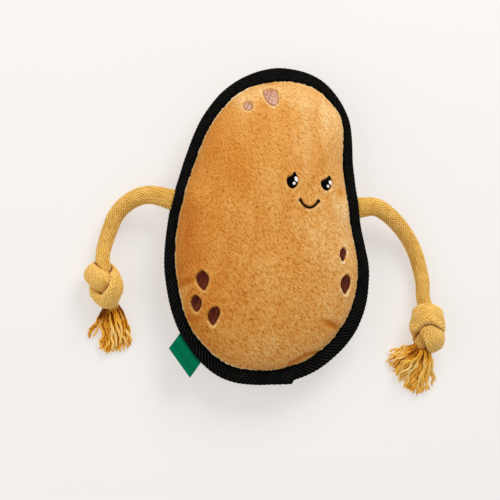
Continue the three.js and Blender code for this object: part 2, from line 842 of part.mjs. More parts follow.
// A sewn patch that follows what carries it. Its edge is a distance from its centre for each
// direction, and its top draws in a little.
function patchGeometry(carrier, x, y, edgeAt, sides, thickness) {
  const ringAt = (share, lift) => {
    const ring = [];
    for (let s = 0; s < sides; s += 1) {
      const angle = (s / sides) * 2 * Math.PI;
      const reach = edgeAt(angle) * share;
      const px = x + Math.cos(angle) * reach;
      const py = y + Math.sin(angle) * reach;
      ring.push(new THREE.Vector3(px, py, heightOn(carrier, px, py) + lift));
    }
    return ring;
  };
  const top = seamGap + thickness;
  const rings = [
    ringAt(patchInnerShare, seamGap),
    ringAt(1, seamGap),
    ringAt(patchTopShare, top),
    ringAt(patchInnerShare, top),
  ];
  const middle = heightOn(carrier, x, y);
  return skin(rings, new THREE.Vector3(x, y, middle + seamGap), new THREE.Vector3(x, y, middle + top));
}

function ellipseEdge(radii, tilt) {
  return (angle) => {
    const turned = angle - tilt;
    return 1 / Math.hypot(Math.cos(turned) / radii[0], Math.sin(turned) / radii[1]);
  };
}

function addFace(front) {
  const middleX = faceShares[0] * halfWidth;
  const middleY = faceShares[1] * halfLength;
  const eyeMeshes = eyes.map((eye) => {
    const plain = ellipseEdge([eyeRadii[0] * eye.narrowShare, eyeRadii[1]], 0);
    const edge = (angle) => {
      const turn = Math.atan2(Math.sin(angle - eye.lashAngle), Math.cos(angle - eye.lashAngle));
      return plain(angle) + lashLength * Math.exp(-((turn / lashWidthShare) ** 2));
    };
    const x = middleX + (eye.side * eyeSpacing) / 2;
    const geometry = patchGeometry(front, x, middleY, edge, 2 * roundSides, embroideryThickness);
    return add(eye.name, geometry, darkThreadMaterial);
  });
  for (const glint of glints) {
    const carrier = eyeMeshes[glint.eye];
    const x = middleX + (eyes[glint.eye].side * eyeSpacing) / 2 + glint.dx;
    const edge = ellipseEdge(glint.radii, 0);
    const geometry = patchGeometry(carrier, x, middleY + glint.dy, edge, glintSides, glintThickness);
    add(glint.name, geometry, whiteThreadMaterial);
  }
  const corners = mouthCorners.map(([x, y]) => new THREE.Vector3(middleX + x, middleY + y, 0));
  const path = new THREE.QuadraticBezierCurve3(...corners).getPoints(mouthSteps);
  for (const point of path) {
    point.setZ(heightOn(front, point.x, point.y) + seamGap + threadRadius);
  }
  const rings = tubeRings(path, path.map(() => threadRadius), threadSides);
  add('mouth', skin(rings, path[0], path[path.length - 1]), darkThreadMaterial);
}

function addSpots(front) {
  for (const spot of spots) {
    const x = spot.placeShares[0] * halfWidth;
    const y = spot.placeShares[1] * halfLength;
    const edge = ellipseEdge(spot.radii, THREE.MathUtils.degToRad(spot.tilt));
    const material = spot.pale ? paleSpotMaterial : darkSpotMaterial;
    add(spot.name, patchGeometry(front, x, y, edge, roundSides, spotThickness), material);
  }
}

// The toy

const front = add('front_plush_panel', panelGeometry(1), plushMaterial);
add('back_plush_panel', panelGeometry(-1), plushMaterial);
add('front_lining', liningGeometry(1), liningMaterial);
add('back_lining', liningGeometry(-1), liningMaterial);

const hollows = [squeakerBed(), solid(rootGeometry(0, layerGap)), solid(rootGeometry(1, layerGap))];
add('front_stuffing', stuffingGeometry(1, hollows), fillMaterial);
add('back_stuffing', stuffingGeometry(-1, hollows), fillMaterial);

let tape = solid(skin(stations.map((at) => tapeRing(at, 0)))).add(solid(lapGeometry()));
for (const index of [0, 1]) {
  tape = tape.subtract(solid(rootGeometry(index, seamGap)));
}
add('edge_binding', geometryOf(tape), tapeMaterial);

addSqueaker();
addFace(front);
addSpots(front);
addLabel();
const cords = [
  ...addArm('left', 0, leftArch, leftKnot, leftFan),
  ...addArm('right', 1, rightArch, rightKnot, rightFan),
];

// The origin is under the middle of the body, on the floor. The free rope doesn't count.
const bodyBox = new THREE.Box3();
for (const mesh of group.children) {
  if (!cords.includes(mesh)) {
    bodyBox.expandByObject(mesh);
  }
}
const bodyMiddle = bodyBox.getCenter(new THREE.Vector3());
group.position.set(-bodyMiddle.x, -bodyMiddle.y, seamHeight);
group.updateMatrixWorld(true);

export default group;
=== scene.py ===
# A flat plush toy for dogs, shaped like a potato with a smiling face, two rope arms and a bound
# edge. It lies on its back. Lengths are millimetres in the toy's own frame, with heights counted
# from the seam plane, and turn into metres when a mesh is made.
import itertools
import math
import bpy
import numpy as np
from mathutils import Matrix, Vector


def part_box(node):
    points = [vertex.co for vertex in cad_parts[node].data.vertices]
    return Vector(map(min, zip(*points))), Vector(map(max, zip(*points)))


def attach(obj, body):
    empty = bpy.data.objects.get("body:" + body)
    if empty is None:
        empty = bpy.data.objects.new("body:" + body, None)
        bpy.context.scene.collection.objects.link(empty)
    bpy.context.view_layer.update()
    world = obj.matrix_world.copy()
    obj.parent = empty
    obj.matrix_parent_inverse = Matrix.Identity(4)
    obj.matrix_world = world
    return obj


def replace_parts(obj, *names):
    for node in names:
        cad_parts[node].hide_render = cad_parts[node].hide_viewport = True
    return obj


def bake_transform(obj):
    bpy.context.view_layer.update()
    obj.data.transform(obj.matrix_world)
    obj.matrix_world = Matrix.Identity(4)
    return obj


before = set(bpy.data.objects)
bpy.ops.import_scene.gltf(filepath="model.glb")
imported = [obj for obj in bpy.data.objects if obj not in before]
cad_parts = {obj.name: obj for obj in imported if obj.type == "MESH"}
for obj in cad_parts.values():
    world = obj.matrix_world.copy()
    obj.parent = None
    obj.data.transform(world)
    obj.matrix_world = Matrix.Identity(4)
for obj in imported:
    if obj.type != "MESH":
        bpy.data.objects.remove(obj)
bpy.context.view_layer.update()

MM = 0.001
SEAM_HEIGHT = 24.0
SQUEAKER_Y = -20.0
bulb_low, bulb_high = (np.array(corner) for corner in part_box("squeaker_bulb"))
ORIGIN = np.array([*((bulb_low + bulb_high) / 2)[:2], SEAM_HEIGHT * MM]) - [0, SQUEAKER_Y * MM, 0]
FLOOR, CLEAR = -SEAM_HEIGHT, 0.02
random = np.random.default_rng(7)

# Body, as in the CAD. A side is 1 for the front and -1 for the back

SIDES = {1: "front", -1: "back"}
HALF_WIDTH, HALF_LENGTH = 82.0, 127.5
FRONT_CROWN, BACK_FLAT = 32.0, 0.5
CROWNS = {1: FRONT_CROWN, -1: SEAM_HEIGHT + BACK_FLAT}
FULLNESS, DOME_POWER, HEAD_DROP = {1: 2.4, -1: 3.0}, 0.526, 0.16
TAPE_WIDTH, TAPE_TOP, TAPE_FOLD, WEBBING_THICKNESS = 25.0, 3.85, 2.4, 1.15
PLUSH_THICKNESS, LINING_THICKNESS, LAYER_GAP, SEAM_GAP = 2.2, 0.6, 0.4, 0.3
LINING_BOTTOM, LINING_TOP = 0.15, 0.65
PLUSH_BOTTOM, PLUSH_TOP = 0.95, 2.35
FLANGE, EDGE_INSET, ARC_RADIUS = 8.5, 1.5, 95
HUMP_HEIGHT, HUMP_REACH = 3.5, 21.0
ROOT_HEIGHTS = (20.0, 16.5)
OUTLINE = np.array([
    (0.922, 0.08, 0.75), (0.868, 0.402, 0.77), (0.817, 0.712, 0.6), (0.553, 0.938, 0.77),
    (0.146, 1.011, 0.94), (-0.288, 0.924, 0.8), (-0.608, 0.713, 0.75), (-0.833, 0.359, 0.65),
    (-0.976, -0.03, 0.62), (-0.988, -0.344, 0.72), (-0.828, -0.688, 0.74), (-0.454, -0.942, 0.95),
    (0.05, -0.988, 0.95), (0.528, -0.885, 0.94), (0.9, -0.637, 1), (1.022, -0.318, 0.84),
]) * [HALF_WIDTH, HALF_LENGTH, TAPE_WIDTH / 2]


def unit(v):
    return v / np.maximum(np.linalg.norm(v, axis=-1, keepdims=True), 1e-9)


def square_to(v, along):
    """The part of a direction that lies across another."""
    return v - along * (v * along).sum(-1, keepdims=True)


def all_round(angle, first, second):
    """Directions at angles from the first of two directions toward the second."""
    return np.cos(angle)[:, None] * first[..., None, :] + np.sin(angle)[:, None] * second[..., None, :]


def smooth(t):
    t = np.clip(t, 0, 1)
    return t * t * (3 - 2 * t)


def catmull(points, per, closed=False):
    """Points along a centripetal Catmull-Rom curve, so many to each span."""
    p = np.asarray(points, float)
    if closed:
        p = np.vstack([p[-1], p, p[0], p[1]])
    else:
        p = np.vstack([2 * p[0] - p[1], p, 2 * p[-1] - p[-2]])
    t = (np.arange(per) / per)[:, None]
    spans = []
    for p0, p1, p2, p3 in zip(p[:-3], p[1:-2], p[2:-1], p[3:]):
        d1, d2, d3 = (math.sqrt(np.linalg.norm(d)) for d in (p1 - p0, p2 - p1, p3 - p2))
        m1 = ((p1 - p0) / d1 - (p2 - p0) / (d1 + d2) + (p2 - p1) / d2) * d2
        m2 = ((p2 - p1) / d2 - (p3 - p1) / (d2 + d3) + (p3 - p2) / d3) * d2
        spans.append((2 * t**3 - 3 * t**2 + 1) * p1 + (t**3 - 2 * t**2 + t) * m1
                     + (3 * t**2 - 2 * t**3) * p2 + (t**3 - t**2) * m2)
    return np.vstack([*spans, p[-2]])


def travelled(path):
    return np.concatenate([[0], np.cumsum(np.linalg.norm(np.diff(path, axis=0), axis=1))])


def between(t, at, rows):
    """The rows of a table, read between the places where they are given."""
    return np.stack([np.interp(t, at, column) for column in rows.T], -1)


def resample(path, steps):
    s = travelled(path)
    return between(np.linspace(0, s[-1], steps + 1), s, path)


seam = catmull(OUTLINE, 64, closed=True)
seam_travelled = travelled(seam)
SEAM_LENGTH = seam_travelled[-1]


def seam_at(share):
    return between(np.mod(share, 1) * SEAM_LENGTH, seam_travelled, seam)


def seam_along(share):
    return unit((seam_at(share + 1e-3) - seam_at(share - 1e-3))[..., :2])


def seam_out(share):
    along = seam_along(share)
    return np.stack([along[..., 1], -along[..., 0]], -1)


def share_at(side, height):
    shares = np.linspace(0, 1, 6001)
    at = seam_at(shares)
    off = np.where(np.sign(at[:, 0]) == side, np.abs(at[:, 1] - height), 1e9)
    return shares[off.argmin()]


root_shares = [share_at(-1, ROOT_HEIGHTS[0]), share_at(1, ROOT_HEIGHTS[1])]


def seam_distance(share, other):
    apart = np.abs(np.mod(share, 1) - other)
    return np.minimum(apart, 1 - apart) * SEAM_LENGTH


def hump(share):
    """How far a sewn-in rope lifts the layers over it."""
    total = 0
    for root in root_shares:
        near = np.minimum(1, seam_distance(share, root) / HUMP_REACH)
        total = total + HUMP_HEIGHT * np.cos(near * math.pi / 2) ** 2
    return total


def seam_point(share, inset, height):
    share, inset, height = np.broadcast_arrays(share, inset, height)
    xy = seam_at(share)[..., :2] - seam_out(share) * inset[..., None]
    return np.concatenate([xy, height[..., None]], -1)


def risen(side, u):
    """The share of its height that a stuffed half has, from its rim (u = 1) to its middle."""
    return np.clip(1 - u ** FULLNESS[side], 0, 1) ** DOME_POWER


def dome(side, share, u, inset, base, crown):
    """The stuffed half of a layer."""
    share, u = np.broadcast_arrays(share, u)
    place = seam_point(share, seam_at(share)[..., 2] + inset, 0.0)[..., :2] * u[..., None]
    rise = risen(side, u)
    if side > 0:
        rise = rise * (1 - HEAD_DROP * np.maximum(0, place[..., 1] / HALF_LENGTH) ** 2)
    height = base + hump(share) * u**6 + (crown - base) * rise
    limit = crown if side > 0 else crown - BACK_FLAT
    return np.concatenate([place, side * np.minimum(height, limit)[..., None]], -1)


rim_shares = np.linspace(0, 1, 3001)
rim = seam_point(rim_shares, seam_at(rim_shares)[:, 2] + SEAM_GAP, 0.0)[:, :2]
rim_angles = np.unwrap(np.arctan2(rim[:, 1], rim[:, 0]))
rim_reach = np.hypot(rim[:, 0], rim[:, 1])


def front_height(x, y):
    """The smooth front of the plush over a place."""
    angle = np.arctan2(y, x)
    angle = np.where(angle < rim_angles[0], angle + 2 * math.pi, angle)
    share = np.interp(angle, rim_angles, rim_shares)
    u = np.clip(np.hypot(x, y) / np.interp(angle, rim_angles, rim_reach), 0, 1)
    return dome(1, share, u, SEAM_GAP, PLUSH_TOP, FRONT_CROWN)[..., 2]


def front_normal(x, y, step=1.0):
    dx = (front_height(x + step, y) - front_height(x - step, y)) / (2 * step)
    dy = (front_height(x, y + step) - front_height(x, y - step)) / (2 * step)
    return unit(np.stack([-dx, -dy, np.ones_like(dx)], -1))


def noise(points, size, seed):
    """Smooth value noise from -1 to 1, with lumps of that size."""
    q = np.asarray(points, float) / size
    cell = np.floor(q).astype(np.int64)
    f = q - cell
    f = f * f * (3 - 2 * f)
    total = 0
    for corner in itertools.product((0, 1), repeat=q.shape[-1]):
        h = np.full(q.shape[:-1], seed * 374761393, np.int64)
        weight = 1
        for k, c in enumerate(corner):
            h = (h ^ (cell[..., k] + c)) * 668265263 & 0x7FFFFFFF
            h ^= h >> 15
            weight = weight * (f[..., k] if c else 1 - f[..., k])
        h = h * 1274126177 & 0x7FFFFFFF
        total = total + weight * ((h ^ (h >> 13)) & 0xFFFFFF) / 0x800000
    return total - 1


# Meshes: a shape is its points, its faces and its tone

def grid_faces(rows, columns, wrap=False):
    r, c = np.meshgrid(np.arange(rows - 1), np.arange(columns if wrap else columns - 1), indexing="ij")
    n = (c + 1) % columns
    a = r * columns
    b = a + columns
    return np.stack([a + c, a + n, b + n, b + c], -1).reshape(-1, 4)


def tube_faces(rings, sides):
    first = np.arange(sides)[None]
    return [grid_faces(rings, sides, wrap=True), first[:, ::-1], first + (rings - 1) * sides]


def folded_faces(over, under, columns, closed=False):
    """A sheet folded on itself: so many rows out over its top, then so many back underneath."""
    index = np.arange((over + under) * columns).reshape(-1, columns)
    after = np.roll(index, -1, 0)
    quads = np.stack([index, np.roll(index, -1, 1), np.roll(after, -1, 1), after], -1)
    if closed:
        return [quads.reshape(-1, 4)]
    faces = [quads[:, :-1].reshape(-1, 4)]
    pick = np.linspace(0, over - 1, under).round().astype(int)
    for column, flip in ((0, 1), (columns - 1, -1)):
        for k in range(under - 1):
            end = [*index[pick[k]:pick[k + 1] + 1, column], *index[[-2 - k, -1 - k], column]]
            faces.append(np.array([end[::flip]]))
    return faces


def outward(points, faces):
    """The faces of a closed mesh, turned to look out of it."""
    points = points - points.mean(0)
    volume = 0
    for f in faces:
        for k in range(1, f.shape[1] - 1):
            a, b, c = points[f[:, 0]], points[f[:, k]], points[f[:, k + 1]]
            volume += (a * np.cross(b, c)).sum()
    return [f[:, ::-1] for f in faces] if volume < 0 else faces


def joined(*shapes):
    """Closed shapes as one."""
    points, faces, tones, count = [], [], [], 0
    for own_points, own_faces, tone in shapes:
        own_points = own_points.reshape(-1, 3)
        points.append(own_points)
        faces += [f + count for f in outward(own_points, own_faces)]
        tones.append(np.broadcast_to(np.ravel(tone), len(own_points)))
        count += len(own_points)
    return np.concatenate(points), faces, np.concatenate(tones)


def perimeter(n):
    k = np.arange(n)
    return np.concatenate([k * (n + 1), n * (n + 1) + k, (n - k) * (n + 1) + n, n - k])


def layered(outer, inner, outer_tone, inner_tone):
    """A square grid and one under it, which may be coarser, joined round their rims."""
    n, m = len(outer) - 1, len(inner) - 1
    shift = (n + 1) ** 2
    outer_rim, inner_rim = perimeter(n), perimeter(m) + shift
    steps = [outer_rim[k::n // m] for k in range(n // m)]
    rim_faces = np.stack([np.roll(inner_rim, -1), inner_rim, *steps, np.roll(steps[0], -1)], 1)
    points = np.concatenate([outer.reshape(-1, 3), inner.reshape(-1, 3)])
    faces = [grid_faces(n + 1, n + 1), grid_faces(m + 1, m + 1)[:, ::-1] + shift, rim_faces]
    return points, faces, np.concatenate([outer_tone.ravel(), inner_tone.ravel()])


def paint(mesh, values, name="tone"):
    """A value at each point of a mesh, which its material reads."""
    data = mesh.attributes.new(name, "FLOAT", "POINT").data
    data.foreach_set("value", np.array(values, np.float32).ravel())


def make(name, shape, material, body=None):
    points, faces, tone = shape
    points = points.reshape(-1, 3)
    faces = outward(points, faces)
    mesh = bpy.data.meshes.new(name)
    loops = np.concatenate([f.ravel() for f in faces])
    sizes = np.concatenate([np.full(len(f), f.shape[1]) for f in faces])
    mesh.vertices.add(len(points))
    mesh.vertices.foreach_set("co", (points * MM + ORIGIN).astype(np.float32).ravel())
    mesh.loops.add(len(loops))
    mesh.loops.foreach_set("vertex_index", loops.astype(np.int32))
    mesh.polygons.add(len(sizes))
    mesh.polygons.foreach_set("loop_start", (np.cumsum(sizes) - sizes).astype(np.int32))
    mesh.update(calc_edges=True)
    mesh.polygons.foreach_set("use_smooth", np.ones(len(sizes), bool))
    paint(mesh, np.broadcast_to(np.ravel(tone), len(points)))
    mesh.materials.append(material)
    made = bpy.data.objects.new(name, mesh)
    bpy.context.scene.collection.objects.link(made)
    if body:
        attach(made, body)
    return made


def remade(thing, kind, **settings):
    """Give an object the mesh that a modifier makes of it."""
    modifier = thing.modifiers.new(kind, kind)
    for key, value in settings.items():
        setattr(modifier, key, value)
    bpy.context.view_layer.update()
    evaluated = thing.evaluated_get(bpy.context.evaluated_depsgraph_get())
    mesh = bpy.data.meshes.new_from_object(evaluated)
    thing.modifiers.clear()
    thing.data = mesh
    return mesh


NEARLY_UP = np.array([0.02, 0.01, 1.0])


def tubes(paths, radii, sides):
    """Closed tubes, one along each path: their points, shaped tube by ring by side, and faces."""
    paths = np.asarray(paths, float)
    radii = np.broadcast_to(radii, paths.shape[:2])
    along = unit(np.gradient(paths, axis=1))
    up = unit(square_to(NEARLY_UP, along))
    ring = all_round(2 * math.pi * np.arange(sides) / sides, np.cross(along, up), up)
    points = paths[:, :, None] + ring * radii[..., None, None]
    count, rings = paths.shape[:2]
    starts = (np.arange(count) * rings * sides)[:, None, None]
    return points, [(f + starts).reshape(-1, f.shape[1]) for f in tube_faces(rings, sides)]


# Materials

def principled(material):
    return material.node_tree.nodes["Principled BSDF"].inputs


def shader(name, roughness, sheen=0.0, sheen_roughness=0.5, sheen_tint=(1, 1, 1), specular=0.3):
    material = bpy.data.materials.new(name)
    material.use_nodes = True
    values = {"Roughness": roughness, "Sheen Weight": sheen, "Sheen Roughness": sheen_roughness,
              "Sheen Tint": (*sheen_tint, 1), "Specular IOR Level": specular}
    for key, value in values.items():
        principled(material)[key].default_value = value
    return material


def add(material, kind, values=None, **settings):
    node = material.node_tree.nodes.new("ShaderNode" + kind)
    for key, value in settings.items():
        setattr(node, key, value)
    for key, value in (values or {}).items():
        node.inputs[key].default_value = value
    return node


def link(material, out, into):
    material.node_tree.links.new(out, into)


def srgb(code):
    parts = [int(code[i:i + 2], 16) / 255 for i in (1, 3, 5)]
    return tuple(p / 12.92 if p <= 0.04045 else ((p + 0.055) / 1.055) ** 2.4 for p in parts) + (1,)


def texture(material, scale, detail=3, rough=0.6, stretch=(1, 1, 1), turn=0.0):
    """Noise over the object, stretched along a direction in its plane."""
    place = add(material, "TexCoord")
    mapping = add(material, "Mapping", {"Scale": stretch, "Rotation": (0, 0, turn)}, vector_type="TEXTURE")
    made = add(material, "TexNoise", {"Scale": scale, "Detail": detail, "Roughness": rough})
    link(material, place.outputs["Object"], mapping.inputs["Vector"])
    link(material, mapping.outputs["Vector"], made.inputs["Vector"])
    return made.outputs["Fac"]


def mix(material, a, b, share):
    made = add(material, "Mix", {"Factor": share}, data_type="FLOAT")
    link(material, a, made.inputs[2])
    link(material, b, made.inputs[3])
    return made.outputs[0]


def attribute(material, name="tone"):
    return add(material, "Attribute", attribute_name=name).outputs["Fac"]


def ramp(material, factor, stops):
    made = add(material, "ValToRGB")
    elements = made.color_ramp.elements
    elements[0].position, elements[0].color = stops[0][0], srgb(stops[0][1])
    elements[1].position, elements[1].color = stops[-1][0], srgb(stops[-1][1])
    for position, code in stops[1:-1]:
        elements.new(position).color = srgb(code)
    link(material, factor, made.inputs["Fac"])
    return made.outputs["Color"]


def colour(material, factor, stops, grain=None, grain_stops=None):
    """The base colour along a ramp, darkened by a grain."""
    out = ramp(material, factor, stops)
    if grain is not None:
        times = add(material, "Mix", data_type="RGBA", blend_type="MULTIPLY")
        times.inputs["Factor"].default_value = 1
        link(material, out, times.inputs[6])
        link(material, ramp(material, grain, grain_stops), times.inputs[7])
        out = times.outputs[2]
    link(material, out, principled(material)["Base Color"])


def bump(material, *layers):
    """Bump layers, each a height, a strength and a depth in metres."""
    normal = None
    for height, strength, depth in layers:
        made = add(material, "Bump", {"Strength": strength, "Distance": depth})
        link(material, height, made.inputs["Height"])
        if normal:
            link(material, normal, made.inputs["Normal"])
        normal = made.outputs["Normal"]
    link(material, normal, principled(material)["Normal"])


NAP_TURN = math.radians(-44)

plush = shader("plush_pile", 0.95, 0.28, 0.45, (1.0, 0.8, 0.5), 0.04)
plush_marks = texture(plush, 950, 2, 0.55, (2.6, 1, 1), NAP_TURN)
plush_fine = texture(plush, 1800, 2, 0.5, (1.6, 1, 1), NAP_TURN)
plush_grain = mix(plush, plush_marks, plush_fine, 0.35)
colour(plush, attribute(plush),
       [(0.1, "#CC7C2C"), (0.35, "#DC9846"), (0.55, "#E7AD60"), (0.75, "#F0C687"), (0.9, "#FADFB0"),
        (1.0, "#FFF2D6")],
       plush_grain, [(0.32, "#B27C46"), (0.43, "#E4CCAA"), (0.51, "#F3EADD"), (0.62, "#FCFAF6")])
bump(plush, (plush_marks, 0.6, 0.0006), (plush_fine, 0.3, 0.0003))

rope = shader("cotton_rope_braid", 0.9, 0.3, 0.5, (1.0, 0.92, 0.7), 0.12)
rope_fuzz = texture(rope, 1900)
rope_patches = texture(rope, 160, 2, 0.5)
colour(rope, mix(rope, attribute(rope), rope_patches, 0.14),
       [(0.04, "#744408"), (0.22, "#BC8228"), (0.45, "#E8B454"), (0.7, "#F8D382"), (1.0, "#FFF0C0")])
bump(rope, (rope_fuzz, 0.5, 0.00025))

yarn = shader("frayed_cotton_yarn", 0.9, 0.1, 0.5, (1.0, 0.88, 0.6), 0.08)
yarn_fuzz = texture(yarn, 1500)
colour(yarn, mix(yarn, attribute(yarn), yarn_fuzz, 0.2),
       [(0.04, "#4A1E04"), (0.22, "#9C5A08"), (0.42, "#DE951F"), (0.66, "#FAC04C"), (0.95, "#FFE496")])
bump(yarn, (yarn_fuzz, 0.5, 0.0003))

webbing = shader("edge_tape_weave", 0.85, 0.0, 0.4, (1, 1, 1), 0.06)
webbing_fine = texture(webbing, 2200, 2, 0.5)
# painted highlight along the ridges of the twill ribs
turns = add(webbing, "Math", {1: 2 * math.pi}, operation="MULTIPLY")
link(webbing, attribute(webbing, "rib"), turns.inputs[0])
wave = add(webbing, "Math", operation="COSINE")
link(webbing, turns.outputs[0], wave.inputs[0])
rib_highlight = add(webbing, "MapRange", {"From Min": -0.25, "From Max": 1.0})
link(webbing, wave.outputs[0], rib_highlight.inputs["Value"])
webbing_tone = mix(webbing, mix(webbing, attribute(webbing), rib_highlight.outputs[0], 0.62), webbing_fine, 0.15)
colour(webbing, webbing_tone, [(0.2, "#000000"), (0.45, "#040403"), (0.65, "#10100E"), (0.9, "#2F2F2C")])
bump(webbing, (webbing_fine, 0.35, 0.0002))


def thread(name, stops, roughness=0.5, sheen=0.2, specular=0.3):
    made = shader(name, roughness, sheen, 0.4, (1, 1, 1), specular)
    grain = texture(made, 1600)
    colour(made, mix(made, attribute(made), grain, 0.3), stops)
    bump(made, (grain, 0.3, 0.00015))
    return made


black_thread = thread("black_thread", [(0.1, "#010001"), (0.6, "#040304"), (1.0, "#0F0D0F")], 0.75, 0.0, 0.05)
white_thread = thread("white_thread", [(0.1, "#D2CBC6"), (0.45, "#F6F3F0"), (1.0, "#FFFFFF")], 0.45)
dark_spot = thread("dark_spot_thread",
                   [(0.1, "#260602"), (0.35, "#4B180C"), (0.6, "#74341F"), (1.0, "#A3654A")],
                   0.75, 0.03, 0.1)
# painted sheen: the spots on the head use a paler copy of the spot thread, as lit by light grazing the steep
# top
sheen_lit_spot = thread("sheen_lit_spot_thread",
                   [(0.05, "#54281A"), (0.28, "#A26C54"), (0.52, "#CA9A82"), (1.0, "#EECFBC")],
                   0.75, 0.05, 0.1)
label_weave = thread("label_weave",
                     [(0.1, "#004A30"), (0.45, "#006A4A"), (0.75, "#007C58"), (1.0, "#05936A")],
                     0.8, 0.0, 0.04)
lining_weave = thread("lining_weave", [(0.1, "#BDB8AC"), (0.6, "#E2DED2"), (1.0, "#F2EFE6")], 0.9)
filling = thread("polyester_filling", [(0.1, "#D8D5CC"), (0.6, "#F0EEE7"), (1.0, "#FBFAF6")], 0.95)

plastic = shader("squeaker_plastic", 0.4, specular=0.5)
colour(plastic, texture(plastic, 90, 2, 0.55), [(0.2, "#D5D9DC"), (0.6, "#E6E9EB"), (0.9, "#F2F4F5")])
bump(plastic, (texture(plastic, 700, 2, 0.55), 0.12, 0.0002))
for name in ("squeaker_bulb", "squeaker_reed_holder", "squeaker_reed"):
    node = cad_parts[name]
    node.data.materials.clear()
    node.data.materials.append(plastic)

# Camera, at the photograph's angle, with the focal length and the toy's middle in its pixels

YAW, PITCH, DISTANCE, FOCAL = math.radians(10), math.radians(6), 1.111, 1388.75
PHOTO_SIZE, PHOTO_ORIGIN, SENSOR_WIDTH = 500, (266.5, 226.5), 36
back = Vector((-math.sin(YAW) * math.cos(PITCH), -math.sin(PITCH), math.cos(YAW) * math.cos(PITCH)))
right = Vector((0, 1, 0)).cross(back).normalized()
up = back.cross(right)
facing = Matrix((right, up, back)).transposed()
offset = Vector((PHOTO_ORIGIN[0] - PHOTO_SIZE / 2, PHOTO_SIZE / 2 - PHOTO_ORIGIN[1], -FOCAL)).normalized()
aim = Vector((0, 0, -1)).rotation_difference(offset).to_matrix()
camera_data = bpy.data.cameras.new("camera")
camera_data.sensor_width = SENSOR_WIDTH
camera_data.lens = FOCAL * SENSOR_WIDTH / PHOTO_SIZE
camera = bpy.data.objects.new("camera", camera_data)
camera.matrix_world = (facing @ aim.transposed()).to_4x4()
camera.location = Vector(ORIGIN) + back * DISTANCE
bpy.context.scene.collection.objects.link(camera)
bpy.context.scene.camera = camera

# Rope arms: the routes of the CAD, an arch and an overhand knot pulled tight. In the knot, wide is
# how far the rope spreads, fill how far it bulges into gaps, flat how flat the top turn lies. In the
# frayed end, fan gives the yarns' lengths by angle and leave the angles at which they leave the rope

ROPE_RADIUS, KNOT_ROPE_RADIUS, WIDEST = 6.25, 5.6, 9.4
KNOT_DIAMETER, KNOT_GAP, KNOT_STEPS = 8.3, 0.6, 52
KNOT_PASSES, LOOSE_PASSES = 200, 110
# the rope's course through the seam, and how far out from the seam an end point lies
ROOT_INSETS, BEND_END = np.array([18, 12, 6, 0, -5, -11.05]), -24.0
arms = [
    dict(
        side="left", index=0, wide=1.4, fill=1.0, flat=0.0,
        arch=[(-92.3, 23.6, -0.8), (-101, 22.6, -4), (-110.9, 17.5, -8.5), (-119.2, 8.4, -12.5),
              (-123.8, -2.7, -14.5), (-126.9, -12.3, -14.8), (-129, -20.5, -13.4)],
        knot=[(-129.6, -24.7, -10), (-130, -30.4, -9), (-130.3, -37.4, -9.5), (-130.5, -44.4, -11),
              (-130.4, -51.5, -12), (-129.2, -59.8, -11), (-126.2, -67, -7), (-123.4, -66.4, -3),
              (-122.3, -59.5, 0), (-122.4, -51.3, 0), (-123.2, -43.2, -5), (-125.3, -36.7, -13),
              (-128.9, -33.6, -19), (-133, -33.3, -18), (-135.2, -35.9, -10), (-135.4, -39.6, -2),
              (-132.8, -42, 1.5), (-129.1, -44, 0), (-126.6, -47.5, -6), (-124.8, -52.1, -13),
              (-123, -57.8, -18), (-122.3, -62.9, -19), (-121.7, -66.9, -19), (-121.1, -70, -19)],
        fan=[(-27, 25), (-14, 27), (0, 27.5), (14, 26.5), (30, 26), (44, 23)],
        leave=(-58, 78), count=78,
        strays=[(-62, 20), (-57, 23), (-53, 24), (-49, 21)],
    ),
    dict(
        side="right", index=1, wide=1.7, fill=1.1, flat=0.75,
        arch=[(92, 16.8, -0.8), (98.5, 13.8, -3.2), (106.5, 8.3, -6.6), (115.3, 0.2, -11),
              (122.5, -9.3, -14), (128.2, -21.2, -15.5), (131.4, -33.7, -15.3), (132.6, -43, -13.6)],
        knot=[(132.5, -51.2, -13), (132.7, -57, -12.5), (133.9, -64.3, -12.5), (135.9, -72.5, -12.5),
              (137, -80.8, -8), (137.8, -88.3, -2.5), (138.8, -94.3, -4), (139.2, -99.1, -11),
              (138.2, -95.3, -18.5), (135.5, -87.9, -19), (134, -80.6, -17), (131.7, -72.2, -10),
              (129.7, -66.1, -1.5), (131, -63.7, 2.5), (134, -64.4, 2.5), (137.1, -68, -2.5),
              (139.6, -75, -10), (138.5, -82.3, -14.5), (134.3, -87.3, -12), (130.4, -91.8, -9),
              (129.4, -95.9, -10), (128.9, -99.5, -13)],
        fan=[(-93, 25), (-72, 23.5), (-49, 23.5), (-27, 27), (-2, 31.5), (22, 34.5)],
        leave=(-98, 50), count=100,
        strays=[(36, 26), (31, 28), (-97, 22), (-80, 25)],
    ),
]


def tighten(loose):
    """The knot as the CAD ties it: drawn straight, pushed apart where it meets itself."""
    p = resample(catmull(loose, 20), KNOT_STEPS)
    for turn in range(KNOT_PASSES):
        last = turn >= LOOSE_PASSES
        tension = 0.02 if last else 0.08
        spacing = KNOT_DIAMETER + KNOT_GAP * (2 if last else 1)
        s = travelled(p)
        apart = p[None] - p[:, None]
        distance = np.linalg.norm(apart, axis=2)
        close = (s[None] - s[:, None] > spacing * math.pi / 2) & (distance < spacing)
        push = np.where(close, 0.9 * (spacing - distance) / np.maximum(distance, 1e-6) / 2, 0)
        moves = push[..., None] * apart
        q = p.copy()
        q[1:-1] = p[1:-1] * (1 - tension) + (p[:-2] + p[2:]) / 2 * tension
        q = q + moves.sum(0) - moves.sum(1)
        q[:, 2] = np.maximum(q[:, 2], FLOOR + KNOT_DIAMETER / 2)
        q[:2], q[-2:] = p[:2], p[-2:]
        p = q
    return p


def carried_frame(path):
    """A direction along, one up and one across at each point, without twist."""
    along = unit(np.gradient(path, axis=0))
    ups = np.zeros_like(along)
    carried = np.array([0, 0, 1.0])
    for i, t in enumerate(along):
        carried = ups[i] = unit(square_to(carried, t))
    return along, ups, np.cross(along, ups)


